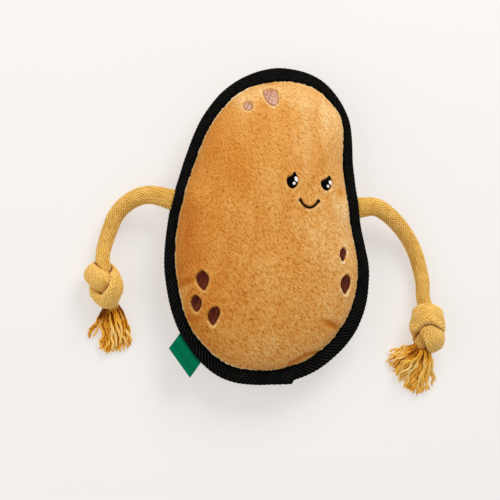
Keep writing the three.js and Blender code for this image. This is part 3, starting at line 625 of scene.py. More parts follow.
PATH_STEP, ROPE_SIDES, BRAID_COLUMNS, STITCH_PITCH, BRAID_DEPTH = 0.45, 112, 16, 2.9, 0.75
THINNEST, KNOT_THIN, KNOT_DROP = 2.2, 0.82, 1.8
# how far along the rope another turn of the knot begins, and how many rings apart to look for it
ANOTHER_TURN, LOOK_STEP = 16, 5
# the rope is flat where it is sewn in: lengths along it, half its width and half its thickness
ROOT_TRAVEL = [0, 18, 24, 32, 50, 75]
ROOT_WIDE = [8.2, 8.7, 8.0, 7.4, 7.0, 6.4]
ROOT_THICK = [3.0, 3.3, 4.2, 5.3, 6.0, 6.2]


def braid_relief(s, angle):
    """How plump the braid is at each point, and how loose the stitch there.

    It has columns of slanted stitches, each column leaning against the next."""
    column = angle / (2 * math.pi) * BRAID_COLUMNS
    stitches = s[:, None] / STITCH_PITCH
    plump, loose = 0, 0
    for side in (-1, 0, 1):
        home = np.floor(column) + side
        off = column - home - 0.5
        lean = np.where(home % 2 == 0, 1, -1)
        place = stitches - (home % 2) * 0.5 - lean * 1.05 * off
        number = np.round(place)
        bulge = 1 - (off / 0.74) ** 2 - ((place - number) / 0.52) ** 2
        pick = np.stack(np.broadcast_arrays((home % BRAID_COLUMNS) * 7.3, number * 3.1), -1)
        loose = np.where(bulge > plump, noise(pick + 0.5, 1.0, 3), loose)
        plump = np.maximum(plump, bulge)
    return np.sqrt(plump), loose


def other_turns(path, s):
    """Here and there along the rope, the distance to each ring of the knot's other turns."""
    for k in range(0, len(path), LOOK_STEP):
        distance = np.linalg.norm(path[k] - path, axis=1)
        yield k, np.where(np.abs(s - s[k]) > ANOTHER_TURN, distance, np.inf)


def rope_surface(path, knot_start, wide, fill, flat):
    """Rings round the rope. It leaves the seam flat, and in the knot it is pressed by itself."""
    s = travelled(path)
    # the turn on top lies lower, flat and wide over what is under it
    tied = (s - knot_start) / (s[-1] - knot_start)
    over = flat * smooth((tied - 0.55) / 0.07) * smooth((0.8 - tied) / 0.07)
    path = path - np.array([0, KNOT_DROP, 0]) * over[:, None]
    along, ups, across = carried_frame(path)
    angle = np.linspace(0, 2 * math.pi, ROPE_SIDES, endpoint=False)
    ring = all_round(angle, ups, across)
    half_wide, half_thick = (np.interp(s, [*ROOT_TRAVEL, knot_start], [*sizes, KNOT_ROPE_RADIUS])[:, None]
                             for sizes in (ROOT_WIDE, ROOT_THICK))
    r = 1 / np.sqrt((np.cos(angle) / half_thick) ** 2 + (np.sin(angle) / half_wide) ** 2)
    # the knot: wide along its surface, thin toward its centre, and bulging into its gaps
    inside = smooth((s - knot_start - 4) / 16) * smooth((s[-1] - 9 - s) / 14)
    in_knot = path[s > knot_start]
    centre = in_knot[len(in_knot) // 8:-len(in_knot) // 6].mean(0)
    away = square_to(path - centre, along)
    turned = inside * np.clip(np.linalg.norm(away, axis=1) / 6, 0, 1)
    away = unit(away) * (1 - over)[:, None] + np.array([0, 0.1, 1.0]) * over[:, None]
    away = unit(square_to(away, along))
    cosine = (ring * away[:, None]).sum(2)
    stretched = 1 + (wide - 1) * turned[:, None]
    pressed = 1 + (KNOT_THIN - 1) * turned[:, None]
    r = r / np.sqrt(cosine**2 / pressed**2 + (1 - cosine**2) / stretched**2)
    inward = unit((centre - path) * [1, 1, 0])
    r = r * (1 + fill * inside[:, None] * np.clip((ring * inward[:, None]).sum(2), 0, 1) ** 1.5)
    # no turn of the knot passes the middle plane between it and its neighbour
    for k, distance in other_turns(path, s):
        near = np.where(distance < 2.6 * ROPE_RADIUS)[0]
        toward = (path[k] - path[near]) / distance[near][:, None]
        facing_it = (ring[near] * toward[:, None]).sum(2)
        own = 0.5 + 0.2 * (over[near] - over[k])
        limit = (distance[near] * own - 0.1)[:, None] / np.maximum(facing_it, 0.05)
        r[near] = np.minimum(r[near], np.where(facing_it > 0.05, limit, 1e9))
    for _ in range(3):
        r = (np.roll(r, 1, 1) + 2 * r + np.roll(r, -1, 1)) / 4
        r[1:-1] = (r[:-2] + 2 * r[1:-1] + r[2:]) / 4
    r = r * np.interp(s[-1] - s, [0, 2, 7], [0.5, 0.72, 1])[:, None]
    plump, loose = braid_relief(s, angle)
    r = np.clip(r, THINNEST, WIDEST) + BRAID_DEPTH * (plump - 0.8) + 0.12 * loose * plump
    points = path[:, None] + ring * r[..., None]
    points[..., 2] = np.maximum(points[..., 2], FLOOR + CLEAR)
    # painted shade in the hollows between the braid's stitches, where it is least plump
    tone = -0.04 + 0.68 * plump**1.5 + 0.12 * loose + inside[:, None] * (0.21 - 0.16 * plump**1.5)
    # the gaps where one turn of the knot lies on another are in shade
    for k, distance in other_turns(path, s):
        near = np.where(distance < 17)[0]
        gap = np.linalg.norm(points[near] - path[k], axis=-1)
        tone[near] = np.minimum(tone[near], 0.62 - 0.55 * smooth((8.8 - gap) / 2.4))
    return points, tone, ring, path


HAIRS, HAIR_LENGTHS, HAIR_RADII, HAIR_REACH = 900, (0.5, 2.4), (0.075, 0.03), 9.6


def rope_fuzz_hairs(points, ring, path, count=HAIRS):
    """Loose fibres that stand off the rope."""
    i = random.integers(40, points.shape[0] - 8, count)
    j = random.integers(0, points.shape[1], count)
    start = points[i, j]
    drift = random.normal(0, 1, (count, 3)) * 0.7 + ring[i, j]
    length = random.uniform(*HAIR_LENGTHS, count)
    length = np.minimum(length, np.maximum(0.2, HAIR_REACH - np.linalg.norm(start - path[i], axis=1)))
    t = np.linspace(-0.15, 1, 4)
    paths = start[:, None] + unit(drift)[:, None] * (t[None, :, None] * length[:, None, None])
    paths = paths + random.normal(0, 0.12, paths.shape)
    paths[..., 2] = np.maximum(paths[..., 2], FLOOR + 0.1)
    return tubes(paths, np.linspace(*HAIR_RADII, 4), 3)


YARN_RINGS, YARN_SIDES = 34, 7
FIBRES_EACH, FIBRE_RINGS, FIBRE_LENGTHS, FIBRE_RADII, FIBRE_TOP = 3, 6, (1.5, 4.0), (0.22, 0.07), 9
# the yarns start this far inside the knot, in a bundle of this half width and half height
YARN_DEPTH, BUNDLE_WIDE, BUNDLE_HIGH = 6.5, 5.4, 5.0


def end_fibres(paths):
    """Fine fibres at the ends of the yarns."""
    base = np.repeat(paths[:, -3], FIBRES_EACH, 0)
    ahead = np.repeat(paths[:, -1] - paths[:, -6], FIBRES_EACH, 0)
    course = unit(ahead + random.normal(0, 0.9, base.shape))
    reach = random.uniform(*FIBRE_LENGTHS, len(base))
    steps = np.linspace(0, 1, FIBRE_RINGS)
    fibres = base[:, None] + course[:, None] * (steps[None, :, None] * reach[:, None, None])
    fibres = fibres + random.normal(0, 0.8, (len(base), 1, 3)) * (steps**2)[None, :, None]
    radii = np.linspace(*FIBRE_RADII, FIBRE_RINGS)
    fibres[..., 2] = np.clip(fibres[..., 2], FLOOR + radii + CLEAR, FLOOR + FIBRE_TOP)
    return tubes(fibres, radii, 4)


def yarn_tassel(arm, end, heading, pivot):
    """The frayed end: untwisted yarns that leave the rope wide and hang over to the floor."""
    angles, lengths = np.array(arm["fan"]).T
    stray_angles, stray_lengths = np.array(arm["strays"]).T
    leave_low, leave_high = arm["leave"]
    count = arm["count"]
    share = random.beta(1.15, 1.15, count)
    spread = angles[0] + (angles[-1] - angles[0]) * share
    length = np.interp(spread, angles, lengths) * random.uniform(0.74, 1.0, count)
    leave = leave_low + (leave_high - leave_low) * share
    spread = np.concatenate([spread, stray_angles])
    leave = np.concatenate([leave, stray_angles])
    length = np.concatenate([length, stray_lengths])
    count = len(spread)
    mean, half = (leave_low + leave_high) / 2, (leave_high - leave_low) / 2
    across_share = np.clip((leave - mean) / half + random.normal(0, 0.2, count), -1, 1)
    up_share = random.uniform(-1, 1, count) * np.sqrt(1 - across_share**2)
    side = np.array([math.cos(math.radians(mean)), math.sin(math.radians(mean)), 0])
    side = unit(square_to(side, heading))
    above = np.cross(side, heading)
    above = above * np.sign(above[2])
    pile = (up_share + 1) / 2
    toward = lambda degrees: np.stack(
        [np.sin(np.radians(degrees)), -np.cos(np.radians(degrees)), 0 * degrees], 1)
    start = end - heading * YARN_DEPTH
    start = start + side * (across_share * BUNDLE_WIDE)[:, None] + above * (up_share * BUNDLE_HIGH)[:, None]
    tip = pivot + toward(spread) * length[:, None]
    tip[:, 2] = FLOOR + 0.9 + pile * random.uniform(0.5, 5.5, count)
    out = toward(leave + random.normal(0, 8, count))
    first = start + heading * 5.5 + out * (length * 0.3)[:, None]
    first[:, 2] = start[:, 2] + 1.5 * pile
    hang = toward(spread * 0.45 + random.normal(0, 10, count))
    second = tip - hang * (length * 0.38)[:, None]
    second[:, 2] = tip[:, 2] + 1.0 + 4.5 * pile
    along = np.linspace(0, 1, YARN_RINGS)[None]
    t = along[..., None]
    weights = [(1 - t) ** 3, 3 * t * (1 - t) ** 2, 3 * t**2 * (1 - t), t**3]
    paths = sum(w * p[:, None] for w, p in zip(weights, (start, first, second, tip)))
    s = along * length[:, None]
    free = smooth((s - 4) / 8)
    flat = toward(spread + 90)
    one = lambda low, high: random.uniform(low, high, count)[:, None]
    turn = lambda: one(0, 2 * math.pi)
    wave = (np.sin(s / one(1.5, 3.2) + turn()) * one(0.4, 1.5)
            + np.sin(s / one(0.6, 1.1) + turn()) * one(0.05, 0.3))
    lift = np.sin(s / one(1.4, 3.0) + turn()) * one(0.3, 1.1)
    paths = paths + flat[:, None] * (wave * free)[..., None]
    paths[..., 2] += lift * free
    radii = (1.0 - 0.12 * along**3) * one(0.78, 1.1)
    radii[:, -1] *= 0.7
    paths[..., 2] = np.maximum(paths[..., 2], FLOOR + radii + CLEAR)
    points, faces = tubes(paths, radii, YARN_SIDES)
    strand = np.arange(YARN_SIDES)[None, None] * (2 * math.pi / YARN_SIDES) * 2
    twist = np.arange(YARN_RINGS)[None, :, None] * 1.3 + strand
    points = points + (points - paths[:, :, None]) * 0.16 * np.sin(twist)[..., None]
    # painted light and shade: yarns lighter the higher they lie, and darker near the root inside the knot
    height = (paths[..., 2] - FLOOR) / 12
    paler = 0.03 if arm["side"] == "right" else -0.08
    tone = random.uniform(0.36, 0.96, count)[:, None] + paler + 0.1 * np.clip(height, 0, 1)
    tone = (tone - 0.62 * (1 - smooth((s - 2) / 11)))[..., None] + 0.1 * np.sin(twist)
    points, faces, tone = joined((points, faces, np.clip(tone, 0.02, 1)), (*end_fibres(paths), 0.75))
    points[:, 2] = np.maximum(points[:, 2], FLOOR + 0.01)
    return points, faces, tone


for arm in arms:
    side = arm["side"]
    share = root_shares[arm["index"]]
    knot = tighten(arm["knot"])
    route = catmull(np.vstack([seam_point(share, ROOT_INSETS, 0.0), arm["arch"], knot]), 10)
    length = travelled(route)[-1]
    path = resample(route, round(length / PATH_STEP))
    knot_start = length - travelled(knot)[-1]
    points, tone, ring, path = rope_surface(path, knot_start, arm["wide"], arm["fill"], arm["flat"])
    fuzz = rope_fuzz_hairs(points, ring, path)
    braid = make(f"{side}_rope", joined((points, tube_faces(len(points), ROPE_SIDES), tone), (*fuzz, 0.8)),
                 rope)
    start_point = seam_point(share, 0.0, 0.0) * MM + ORIGIN
    end_point = seam_point(share, BEND_END, 0.0) * MM + ORIGIN
    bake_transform(braid)
    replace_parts(braid, f"{side}_rope_root", f"{side}_arm_rope")

    heading = unit(path[-1] - path[-4])
    sway = path[-1] + heading * (KNOT_DIAMETER / 2)
    tassel = make(f"{side}_frayed_end", yarn_tassel(arm, path[-1], heading, sway), yarn,
                  f"{side}_tassel")
    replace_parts(tassel, f"{side}_tassel")

# Face and spots: outlines on the front, from the photograph

marks = {
    "left_eye": [
        (16.2, 37.7), (17.8, 37.5), (19.1, 36.0), (19.6, 33.5), (19.0, 30.6), (17.4, 28.4),
        (15.4, 27.5), (13.3, 28.2), (11.8, 30.1), (11.1, 32.6), (11.4, 35.0), (12.7, 36.1),
        (14.4, 36.9),
    ],
    "right_eye": [
        (45.7, 36.9), (47.1, 36.8), (48.2, 35.5), (48.6, 33.3), (48.1, 30.5), (46.3, 28.3),
        (44.2, 27.2), (42.1, 27.8), (40.6, 29.4), (39.7, 31.6), (39.8, 33.4), (41.4, 34.8),
        (43.5, 35.8),
    ],
    "spot_left_upper": [
        (-54.7, -37.8), (-52.7, -39.2), (-50.2, -42.3), (-50.0, -45.5), (-51.2, -49.9), (-53.0, -52.7),
        (-55.2, -51.0), (-57.3, -48.1), (-58.6, -44.2), (-58.4, -41.3), (-56.8, -39.4),
    ],
    "spot_left_middle": [
        (-59.6, -56.7), (-57.4, -57.9), (-55.6, -60.1), (-55.1, -62.8), (-56.0, -66.8), (-58.1, -69.2),
        (-60.7, -66.3), (-62.2, -62.8), (-61.8, -59.6),
    ],
    "spot_left_lower": [
        (-45.2, -66.3), (-42.2, -66.5), (-41.1, -68.7), (-41.3, -71.9), (-42.8, -75.8), (-45.5, -79.8),
        (-48.1, -77.0), (-49.4, -72.9), (-48.4, -68.9),
    ],
    "spot_right_upper": [
        (58.2, -18.4), (60.5, -19.6), (60.6, -22.0), (59.6, -25.3), (57.7, -28.6), (55.9, -26.0),
        (55.4, -23.3), (56.1, -20.6),
    ],
    "spot_right_lower": [
        (62.3, -39.5), (64.5, -41.3), (64.9, -44.0), (64.3, -47.4), (62.6, -51.5), (60.4, -54.2),
        (57.9, -51.2), (56.6, -47.7), (56.8, -44.4), (58.9, -41.3),
    ],
    "spot_head_small": [
        (-17.4, 97.8), (-15.3, 96.7), (-14.6, 94.2), (-15.4, 91.8), (-17.4, 90.6), (-19.5, 91.2),
        (-20.8, 93.1), (-20.9, 95.4), (-19.4, 97.2),
    ],
    "spot_head_large": [
        (-4.2, 107.3), (-4.3, 103.8), (-3.0, 99.7), (-0.7, 96.6), (2.5, 94.9), (5.2, 96.9),
        (6.5, 100.8), (6.5, 104.9), (5.3, 108.3), (2.2, 109.5), (-1.5, 109.0),
    ],
}
# each lash: its tip, and the two ends of its root
lashes = {"left_eye": [(17.2, 41.1), (15.2, 36.8), (18.6, 36.6)],
          "right_eye": [(46.5, 39.7), (44.2, 35.8), (47.7, 35.9)]}
# each glint: its middle, its half sizes and its tilt in degrees
glints = {
    "left_eye_glint_large": ((18.1, 34.3), (1.3, 2.1), 12),
    "left_eye_glint_small": ((16.3, 31.0), (1.1, 1.15), 0),
    "right_eye_glint_large": ((46.8, 33.3), (1.25, 1.8), 10),
    "right_eye_glint_small": ((44.8, 30.2), (1.0, 1.05), 0),
}
mouth_line = [(21.4, 18.4), (23.1, 15.8), (25.8, 13.3), (29.0, 12.4), (32.6, 13.6), (35.3, 16.1),
              (36.8, 18.1)]
mouth_ticks = [((20.2, 17.8), (22.4, 19.2)), ((35.7, 18.8), (38.0, 17.3))]


outlines = {name: catmull(points, 8, closed=True) for name, points in marks.items()}


def distance_to(outline, xy):
    """Signed distance from points to a closed outline, below zero inside."""
    a, b = outline[:-1], outline[1:]
    along = b - a
    t = ((xy[:, None] - a) * along).sum(2) / np.maximum((along**2).sum(1), 1e-9)
    nearest = a + along * np.clip(t, 0, 1)[..., None]
    distance = np.linalg.norm(xy[:, None] - nearest, axis=2).min(1)
    crosses = (a[:, 1] > xy[:, None, 1]) != (b[:, 1] > xy[:, None, 1])
    rise = np.where(np.abs(along[:, 1]) < 1e-9, 1e-9, along[:, 1])
    cut = a[:, 0] + (xy[:, None, 1] - a[:, 1]) * along[:, 0] / rise
    inside = (crosses & (xy[:, None, 0] < cut)).sum(1) % 2 == 1
    return np.where(inside, -distance, distance)


# Plush panels: a grid laid over each half, fine enough for the pile, and a plain inner side

def square_to_disc(n):
    """Where the points of a square grid go on a disc: the share of the seam and the reach."""
    a, b = np.meshgrid(np.linspace(-1, 1, n + 1), np.linspace(-1, 1, n + 1), indexing="ij")
    reach = np.maximum(np.abs(a), np.abs(b))
    safe = np.maximum(reach, 1e-9)
    wide = np.abs(a) >= np.abs(b)
    share = np.where(wide, np.where(a > 0, b / safe / 8, 0.5 - b / safe / 8),
                     np.where(b > 0, 0.25 - a / safe / 8, 0.75 + a / safe / 8))
    return share % 1, reach


def panel_points(side, n, rim_inset, base, crown):
    """A panel's grid: the stuffed dome out to its rim, then the flat flange in the seam."""
    share, reach = square_to_disc(n)
    u = np.linspace(0, 1, 400)
    arc = travelled(np.stack([u * ARC_RADIUS, (crown - base) * risen(side, u)], 1))
    along = reach * (arc[-1] + FLANGE)
    points = dome(side, share, np.interp(along, arc, u), rim_inset, base, crown)
    beyond = np.clip((along - arc[-1]) / FLANGE, 0, 1)
    tape = seam_at(share)[..., 2] + rim_inset
    inset = tape + (EDGE_INSET - tape) * beyond
    flat = seam_point(share, inset, side * (base + hump(share)))
    points = np.where((beyond > 0)[..., None], flat, points)
    direction = unit(seam_at(share)[..., :2])
    return points, along, arc[-1], direction * along[..., None]


# where the pile is lighter or darker, partly its brushed nap and partly painted light and shade: place,
# amount and half sizes
NAP_AND_LIGHT_PATCHES = [
    (53, 87, 0.22, 14, 30), (-15, 107, 0.24, 18, 12), (-41, 57, -0.12, 18, 32), (-64, -11, -0.18, 12, 34),
    (57, 9, 0.2, 10, 32), (14, 66, 0.06, 22, 14), (-4, -43, 0.03, 18, 22), (-41, -71, -0.06, 18, 22),
    (52, -67, 0.03, 14, 24), (7, -104, 0.09, 36, 12), (20, 105, 0.2, 25, 12), (-60, -75, -0.1, 12, 26),
    (30, -12, 0.08, 16, 12),
]

# small dents and the swells beside them, near the tape, with painted shade in the dents and painted light on
# the swells: place, amount of shade, half length, half width and lean
DENTS = [
    (49.5, -79.0, 0.62, 8.5, 2.6, -0.36), (46.0, -73.0, -0.04, 9, 3, -0.36),
    (-64.5, -45.5, 0.42, 6.5, 2.8, 0.5), (-66.0, -51.0, -0.26, 6, 2.4, 0.5),
    (-68.0, -59.0, -0.2, 2.5, 6, 0.0), (-61.0, -74.0, 0.34, 5.5, 2.0, -0.2),
    (57.5, 26.5, 0.36, 4.5, 4.0, 0.0), (52.5, 13.0, -0.06, 6, 9, 0.0),
]

# a small fold of the plush at the foot, with painted shade along it
CREASE = [(17.0, -109.6), (23.7, -106.6), (28.2, -103.8), (33.3, -101.8), (41.0, -100.0)]

PANEL_GRID, INNER_GRID = 296, 74


def rim_highlight(name):
    """How strong the painted highlight is on the pile below a mark."""
    if "spot_left" in name:
        return 0.36
    return 0.24 if "spot" in name else 0.16


def pile_round_marks(points):
    """How far the pile is pressed down under the marks and swells round them, and how strong the painted
    highlight below them is.
    """
    xy = points[..., :2].reshape(-1, 2)
    sunk, raised, lit = np.zeros((3, len(xy)))
    for name, outline in [*outlines.items(), ("mouth", mouth_outline)]:
        low, high = outline.min(0) - 6, outline.max(0) + 6
        near = np.where(((xy > low) & (xy < high)).all(1) & (points[..., 2].ravel() > 4))[0]
        d = distance_to(outline, xy[near])
        sunk[near] = np.maximum(sunk[near], smooth(1 - (d + 0.2) / 1.3))
        raised[near] = np.maximum(raised[near], np.exp(-((d - 2.2) / 1.4) ** 2))
        below = distance_to(outline - [0, 1.3], xy[near])
        lit[near] = np.maximum(lit[near], rim_highlight(name) * smooth(1.2 - below / 1.4) * smooth(d / 0.8))
    return (a.reshape(points.shape[:-1]) for a in (sunk, raised, lit))


def plush_panel(side):
    crown = CROWNS[side]
    points, along, arc, flat_place = panel_points(side, PANEL_GRID, SEAM_GAP, PLUSH_TOP, crown)
    normal = unit(np.cross(np.gradient(points, axis=0), np.gradient(points, axis=1)))
    normal = normal * np.where(normal[..., 2:3] * side < 0, -1, 1)
    # pile: short flecks along the nap, over brushed patches
    turn = NAP_TURN + noise(flat_place, 40, 11) * 0.16
    e1 = np.cos(turn) * flat_place[..., 0] + np.sin(turn) * flat_place[..., 1]
    e2 = -np.sin(turn) * flat_place[..., 0] + np.cos(turn) * flat_place[..., 1]
    streak = lambda length, width, seed: noise(np.stack([e1 / length, e2 / width], -1), 1.0, seed)
    fine = streak(2.4, 1.0, 23)
    ticks = np.clip(-0.1 - fine, 0, None)
    stroked = noise(flat_place * [1, 0.22], 8, 51)
    lower = smooth((flat_place[..., 0] * 0.6 - flat_place[..., 1] + 60) / 120)
    lumps = noise(flat_place, 15, 31)
    from_rim = arc - along
    free = smooth(from_rim / 1.5)
    near_edge = smooth(1 - from_rim / 5.5) * free
    lift = (0.3 * lumps + 0.16 * fine) * free + near_edge * (0.8 + 0.6 * streak(1.8, 1.3, 24))
    tone = 0.48 + 0.05 * fine + lower * (0.03 - 0.3 * ticks) + 0.05 * lumps + (0.09 - 0.05 * lower) * stroked
    # painted highlight: the pile is lighter along the tape, where its edge would catch the light
    tone = tone + 0.16 * near_edge + 0.5 * smooth(1 - from_rim / 2.4) * free
    # each face is lighter toward its right as seen from outside: partly the nap's tone, partly painted light
    # from the lamps on the right
    tone = tone + 0.15 * points[..., 0] / HALF_WIDTH * side
    # painted highlight: a pale rim of pile along the left edge, where the steep side stays dark under the
    # lamps
    tone = tone + (0.45 * near_edge + 0.4 * smooth(1 - from_rim / 2.0) * free) * smooth(-points[..., 0] / 30)
    warped = points[..., :2] + 7 * np.stack([noise(flat_place, 26, 42), noise(flat_place, 26, 43)], -1)
    # patches of brushed nap and of painted light and shade
    for x, y, amount, wide, high in NAP_AND_LIGHT_PATCHES:
        reach = ((warped[..., 0] - x) / wide) ** 2 + ((warped[..., 1] - y) / high) ** 2
        tone = tone + amount * np.exp(-reach)
    # painted shade in the dents and painted light on the swells beside them
    for x, y, amount, long, wide, lean in DENTS:
        to = points[..., :2] - [x, y]
        turned = to @ [[math.cos(lean), -math.sin(lean)], [math.sin(lean), math.cos(lean)]]
        reach = np.exp(-(turned[..., 0] / long) ** 2 - (turned[..., 1] / wide) ** 2)
        tone = tone - amount * reach * (side > 0)
        lift = lift - 1.6 * max(amount, 0) * reach * free
    if side < 0:
        lift = np.minimum(lift, 0) - 0.05
    else:
        sunk, raised, lit = pile_round_marks(points)
        # the fold at the foot, pressed in and painted darker as shade
        to_crease = np.linalg.norm(points[..., None, :2] - catmull(CREASE, 12), axis=-1).min(-1)
        folded = np.exp(-((to_crease / 1.5) ** 2)) * (points[..., 2] > PLUSH_TOP + 1)
        # painted shade where the pile sinks under a mark, painted highlight on the swell round it and the rim
        # below it
        lift = lift * (1 - sunk) - 1.5 * sunk + 0.4 * raised * (1 - sunk) - 0.7 * folded
        tone = tone - 0.2 * sunk + 0.1 * raised + lit - 0.5 * folded
    points = points + normal * lift[..., None]
    if side < 0:
        points[..., 2] = np.maximum(points[..., 2], FLOOR + CLEAR)
    inner = panel_points(side, INNER_GRID, SEAM_GAP + PLUSH_THICKNESS, PLUSH_BOTTOM,
                         crown - PLUSH_THICKNESS)[0]
    shape = layered(points, inner, tone, np.full(inner.shape[:2], 0.4))
    made = make(f"{SIDES[side]}_plush", shape, plush, "body")
    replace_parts(made, f"{SIDES[side]}_plush_panel")


MOUTH_HALF, MOUTH_END_HALF, MOUTH_END = 0.42, 0.5, 2.2
mouth_path = catmull(mouth_line, 10)
mouth_travelled = travelled(mouth_path)
mouth_along = unit(np.gradient(mouth_path, axis=0))
mouth_side = np.stack([-mouth_along[:, 1], mouth_along[:, 0]], 1)
to_end = np.minimum(mouth_travelled, mouth_travelled[-1] - mouth_travelled)
mouth_half = MOUTH_HALF + (MOUTH_END_HALF - MOUTH_HALF) * smooth(1 - to_end / MOUTH_END)
mouth_edge = mouth_side * mouth_half[:, None]
mouth_top, mouth_bottom = mouth_path + mouth_edge, mouth_path - mouth_edge
mouth_outline = np.vstack([mouth_top, mouth_bottom[::-1], mouth_top[:1]])
for side in SIDES:
    plush_panel(side)

# Embroidery: rows of satin thread over a padded patch

THREAD_RADIUS, FINE_THREAD_RADIUS, THREAD_PITCH, THREAD_RINGS, THREAD_SIDES = 0.3, 0.26, 0.46, 14, 6
SHORTEST_THREAD, THREAD_OVERRUN = 0.5, 0.25
PATCH_DEPTH, PATCH_RIM = 1.0, 0.96


def on_front(xy, lift):
    points = np.concatenate([xy, front_height(xy[..., 0], xy[..., 1])[..., None]], -1)
    return points + front_normal(xy[..., 0], xy[..., 1]) * np.asarray(lift)[..., None]


def chord(outline, origin, along, across, place):
    """Where a thread row crosses the outline, as its two ends along the row."""
    rel = outline - origin
    a, c = rel @ along, rel @ across - place
    cut = np.where((c[:-1] > 0) != (c[1:] > 0))[0]
    if len(cut) < 2:
        return None
    t = c[cut] / (c[cut] - c[cut + 1])
    where = a[cut] + t * (a[cut + 1] - a[cut])
    return where.min(), where.max()


def sewn(name, outline, degrees, material, base_lift, crown_lift, tone_at, pitch=THREAD_PITCH):
    """A patch sewn full of thread, in the place of the CAD's piece of that name."""
    origin = outline[:-1].mean(0)
    direction = math.radians(degrees)
    along = np.array([math.cos(direction), math.sin(direction)])
    across = np.array([-along[1], along[0]])
    spread = (outline - origin) @ across
    t = np.linspace(0, 1, THREAD_RINGS)
    edge_on = 1 - (2 * t - 1) ** 6
    paths, tones = [], []
    for row in np.arange(spread.min() + pitch / 2, spread.max(), pitch):
        ends = chord(outline, origin, along, across, row)
        if ends is None or ends[1] - ends[0] < SHORTEST_THREAD:
            continue
        low, high = ends[0] - random.uniform(0, THREAD_OVERRUN), ends[1] + random.uniform(0, THREAD_OVERRUN)
        xy = origin + across * row + along * (low + (high - low) * t)[:, None]
        full = 1 - np.clip(np.abs(row) / max(abs(spread.min()), spread.max()), 0, 1) ** 4
        lift = base_lift + crown_lift * (0.35 + 0.65 * full) * edge_on - 0.9 * (1 - edge_on)
        paths.append(on_front(xy, lift + random.normal(0, 0.03)))
        tones.append(np.clip(tone_at(xy) + random.normal(0, 0.08), 0, 1))
    points, faces = tubes(paths, THREAD_RADIUS, THREAD_SIDES)
    tone = np.repeat(np.array(tones)[..., None], THREAD_SIDES, 2)
    # the patch under the threads: rings from the middle of its underside to the middle of its top
    rings = [(0.25, -PATCH_DEPTH), (PATCH_RIM, -PATCH_DEPTH)]
    rings += [(k, crown_lift * 0.5 * (1 - k)) for k in (PATCH_RIM, 0.6, 0.25)]
    rim_points = outline[:-1] - origin
    patch = np.array([on_front(origin + rim_points * k, base_lift + rise) for k, rise in rings])
    shape = joined((points, faces, tone), (patch, tube_faces(len(rings), len(rim_points)), 0.35))
    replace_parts(make(f"{name}_sewn", shape, material, "body"), name)


def plain_tone(xy):
    return np.full(len(xy), 0.5)


def shade_and_flecks(outline, pale):
    """Threads with painted shade at a spot's top, lighter and flecked below."""
    low, high = outline.min(0), outline.max(0)

    def tone_at(xy):
        t = (xy[:, 1] - low[1]) / (high[1] - low[1])
        fleck = noise(xy, 1.1, 91) * 0.5 + noise(xy, 0.6, 92) * 0.5
        return (0.7 if pale else 0.62) - (0.3 if pale else 0.42) * t + (0.5 if pale else 0.28) * fleck

    return tone_at


for name, outline in outlines.items():
    if name.endswith("_eye"):
        sewn(name, outline, 24, black_thread, -0.35, 0.75, plain_tone)
    elif "head" in name:
        sewn(name, outline, 68, sheen_lit_spot, -0.5, 0.55, shade_and_flecks(outline, True))
    else:
        sewn(name, outline, 78, dark_spot, -0.5, 0.55, shade_and_flecks(outline, False))

# Lashes ride on the eyes' patches as a few threads each
for name, (tip, *root) in lashes.items():
    t = np.linspace(0, 1, 10)
    paths = [on_front(start + (np.array(tip) - start) * t[:, None], 0.3 - 0.5 * t**3)
             for start in np.linspace(*root, 7)]
    lash = tubes(paths, np.linspace(0.34, 0.22, 10), THREAD_SIDES)
    make(f"{name}_lash", (*lash, 0.45), black_thread, "body")

for name, ((x, y), (rx, ry), tilt) in glints.items():
    t = np.linspace(0, 2 * math.pi, 33)
    c, s = math.cos(math.radians(tilt)), math.sin(math.radians(tilt))
    ex, ey = rx * np.cos(t), ry * np.sin(t)
    outline = np.stack([x + ex * c - ey * s, y + ex * s + ey * c], 1)
    sewn(name, outline, 60, white_thread, 0.2, 0.62, plain_tone, 0.42)

# Mouth: short threads across its line, and three along each tick
MOUTH_THREADS, MOUTH_RINGS = 64, 9
places = np.linspace(0.2, mouth_travelled[-1] - 0.2, MOUTH_THREADS)
centre = between(places, mouth_travelled, mouth_path)
across = unit(between(places, mouth_travelled, mouth_side))
ahead = unit(between(places, mouth_travelled, mouth_along))
half = np.interp(places, mouth_travelled, mouth_half)
t = np.linspace(-1, 1, MOUTH_RINGS)
xy = centre[:, None] + (across * half[:, None])[:, None] * t[None, :, None]
xy = xy + ahead[:, None] * (0.35 * t[None, :, None])
lift = np.broadcast_to(-0.3 + 0.85 * (1 - t**4), xy.shape[:2])
threads = tubes(on_front(xy, lift), FINE_THREAD_RADIUS, THREAD_SIDES)
t = np.linspace(0, 1, MOUTH_RINGS)[:, None]
ticks = np.array([np.array(a) * (1 - t) + np.array(b) * t + [0, gap]
                  for a, b in mouth_ticks for gap in (-0.25, 0, 0.25)])
lift = np.broadcast_to(0.65 - 0.9 * (2 * t[:, 0] - 1) ** 6, ticks.shape[:2])
tick_threads = tubes(on_front(ticks, lift), FINE_THREAD_RADIUS, THREAD_SIDES)
tone = np.repeat(random.uniform(0.35, 0.7, MOUTH_THREADS + len(ticks)), MOUTH_RINGS * THREAD_SIDES)
split = MOUTH_THREADS * MOUTH_RINGS * THREAD_SIDES
mouth = make("mouth_sewn", joined((*threads, tone[:split]), (*tick_threads, tone[split:])),
             black_thread, "body")
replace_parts(mouth, "mouth")

# Edge tape: twill webbing folded round the seam

RIBS = round(SEAM_LENGTH / 3.5)
RIB_DEPTH = 0.42


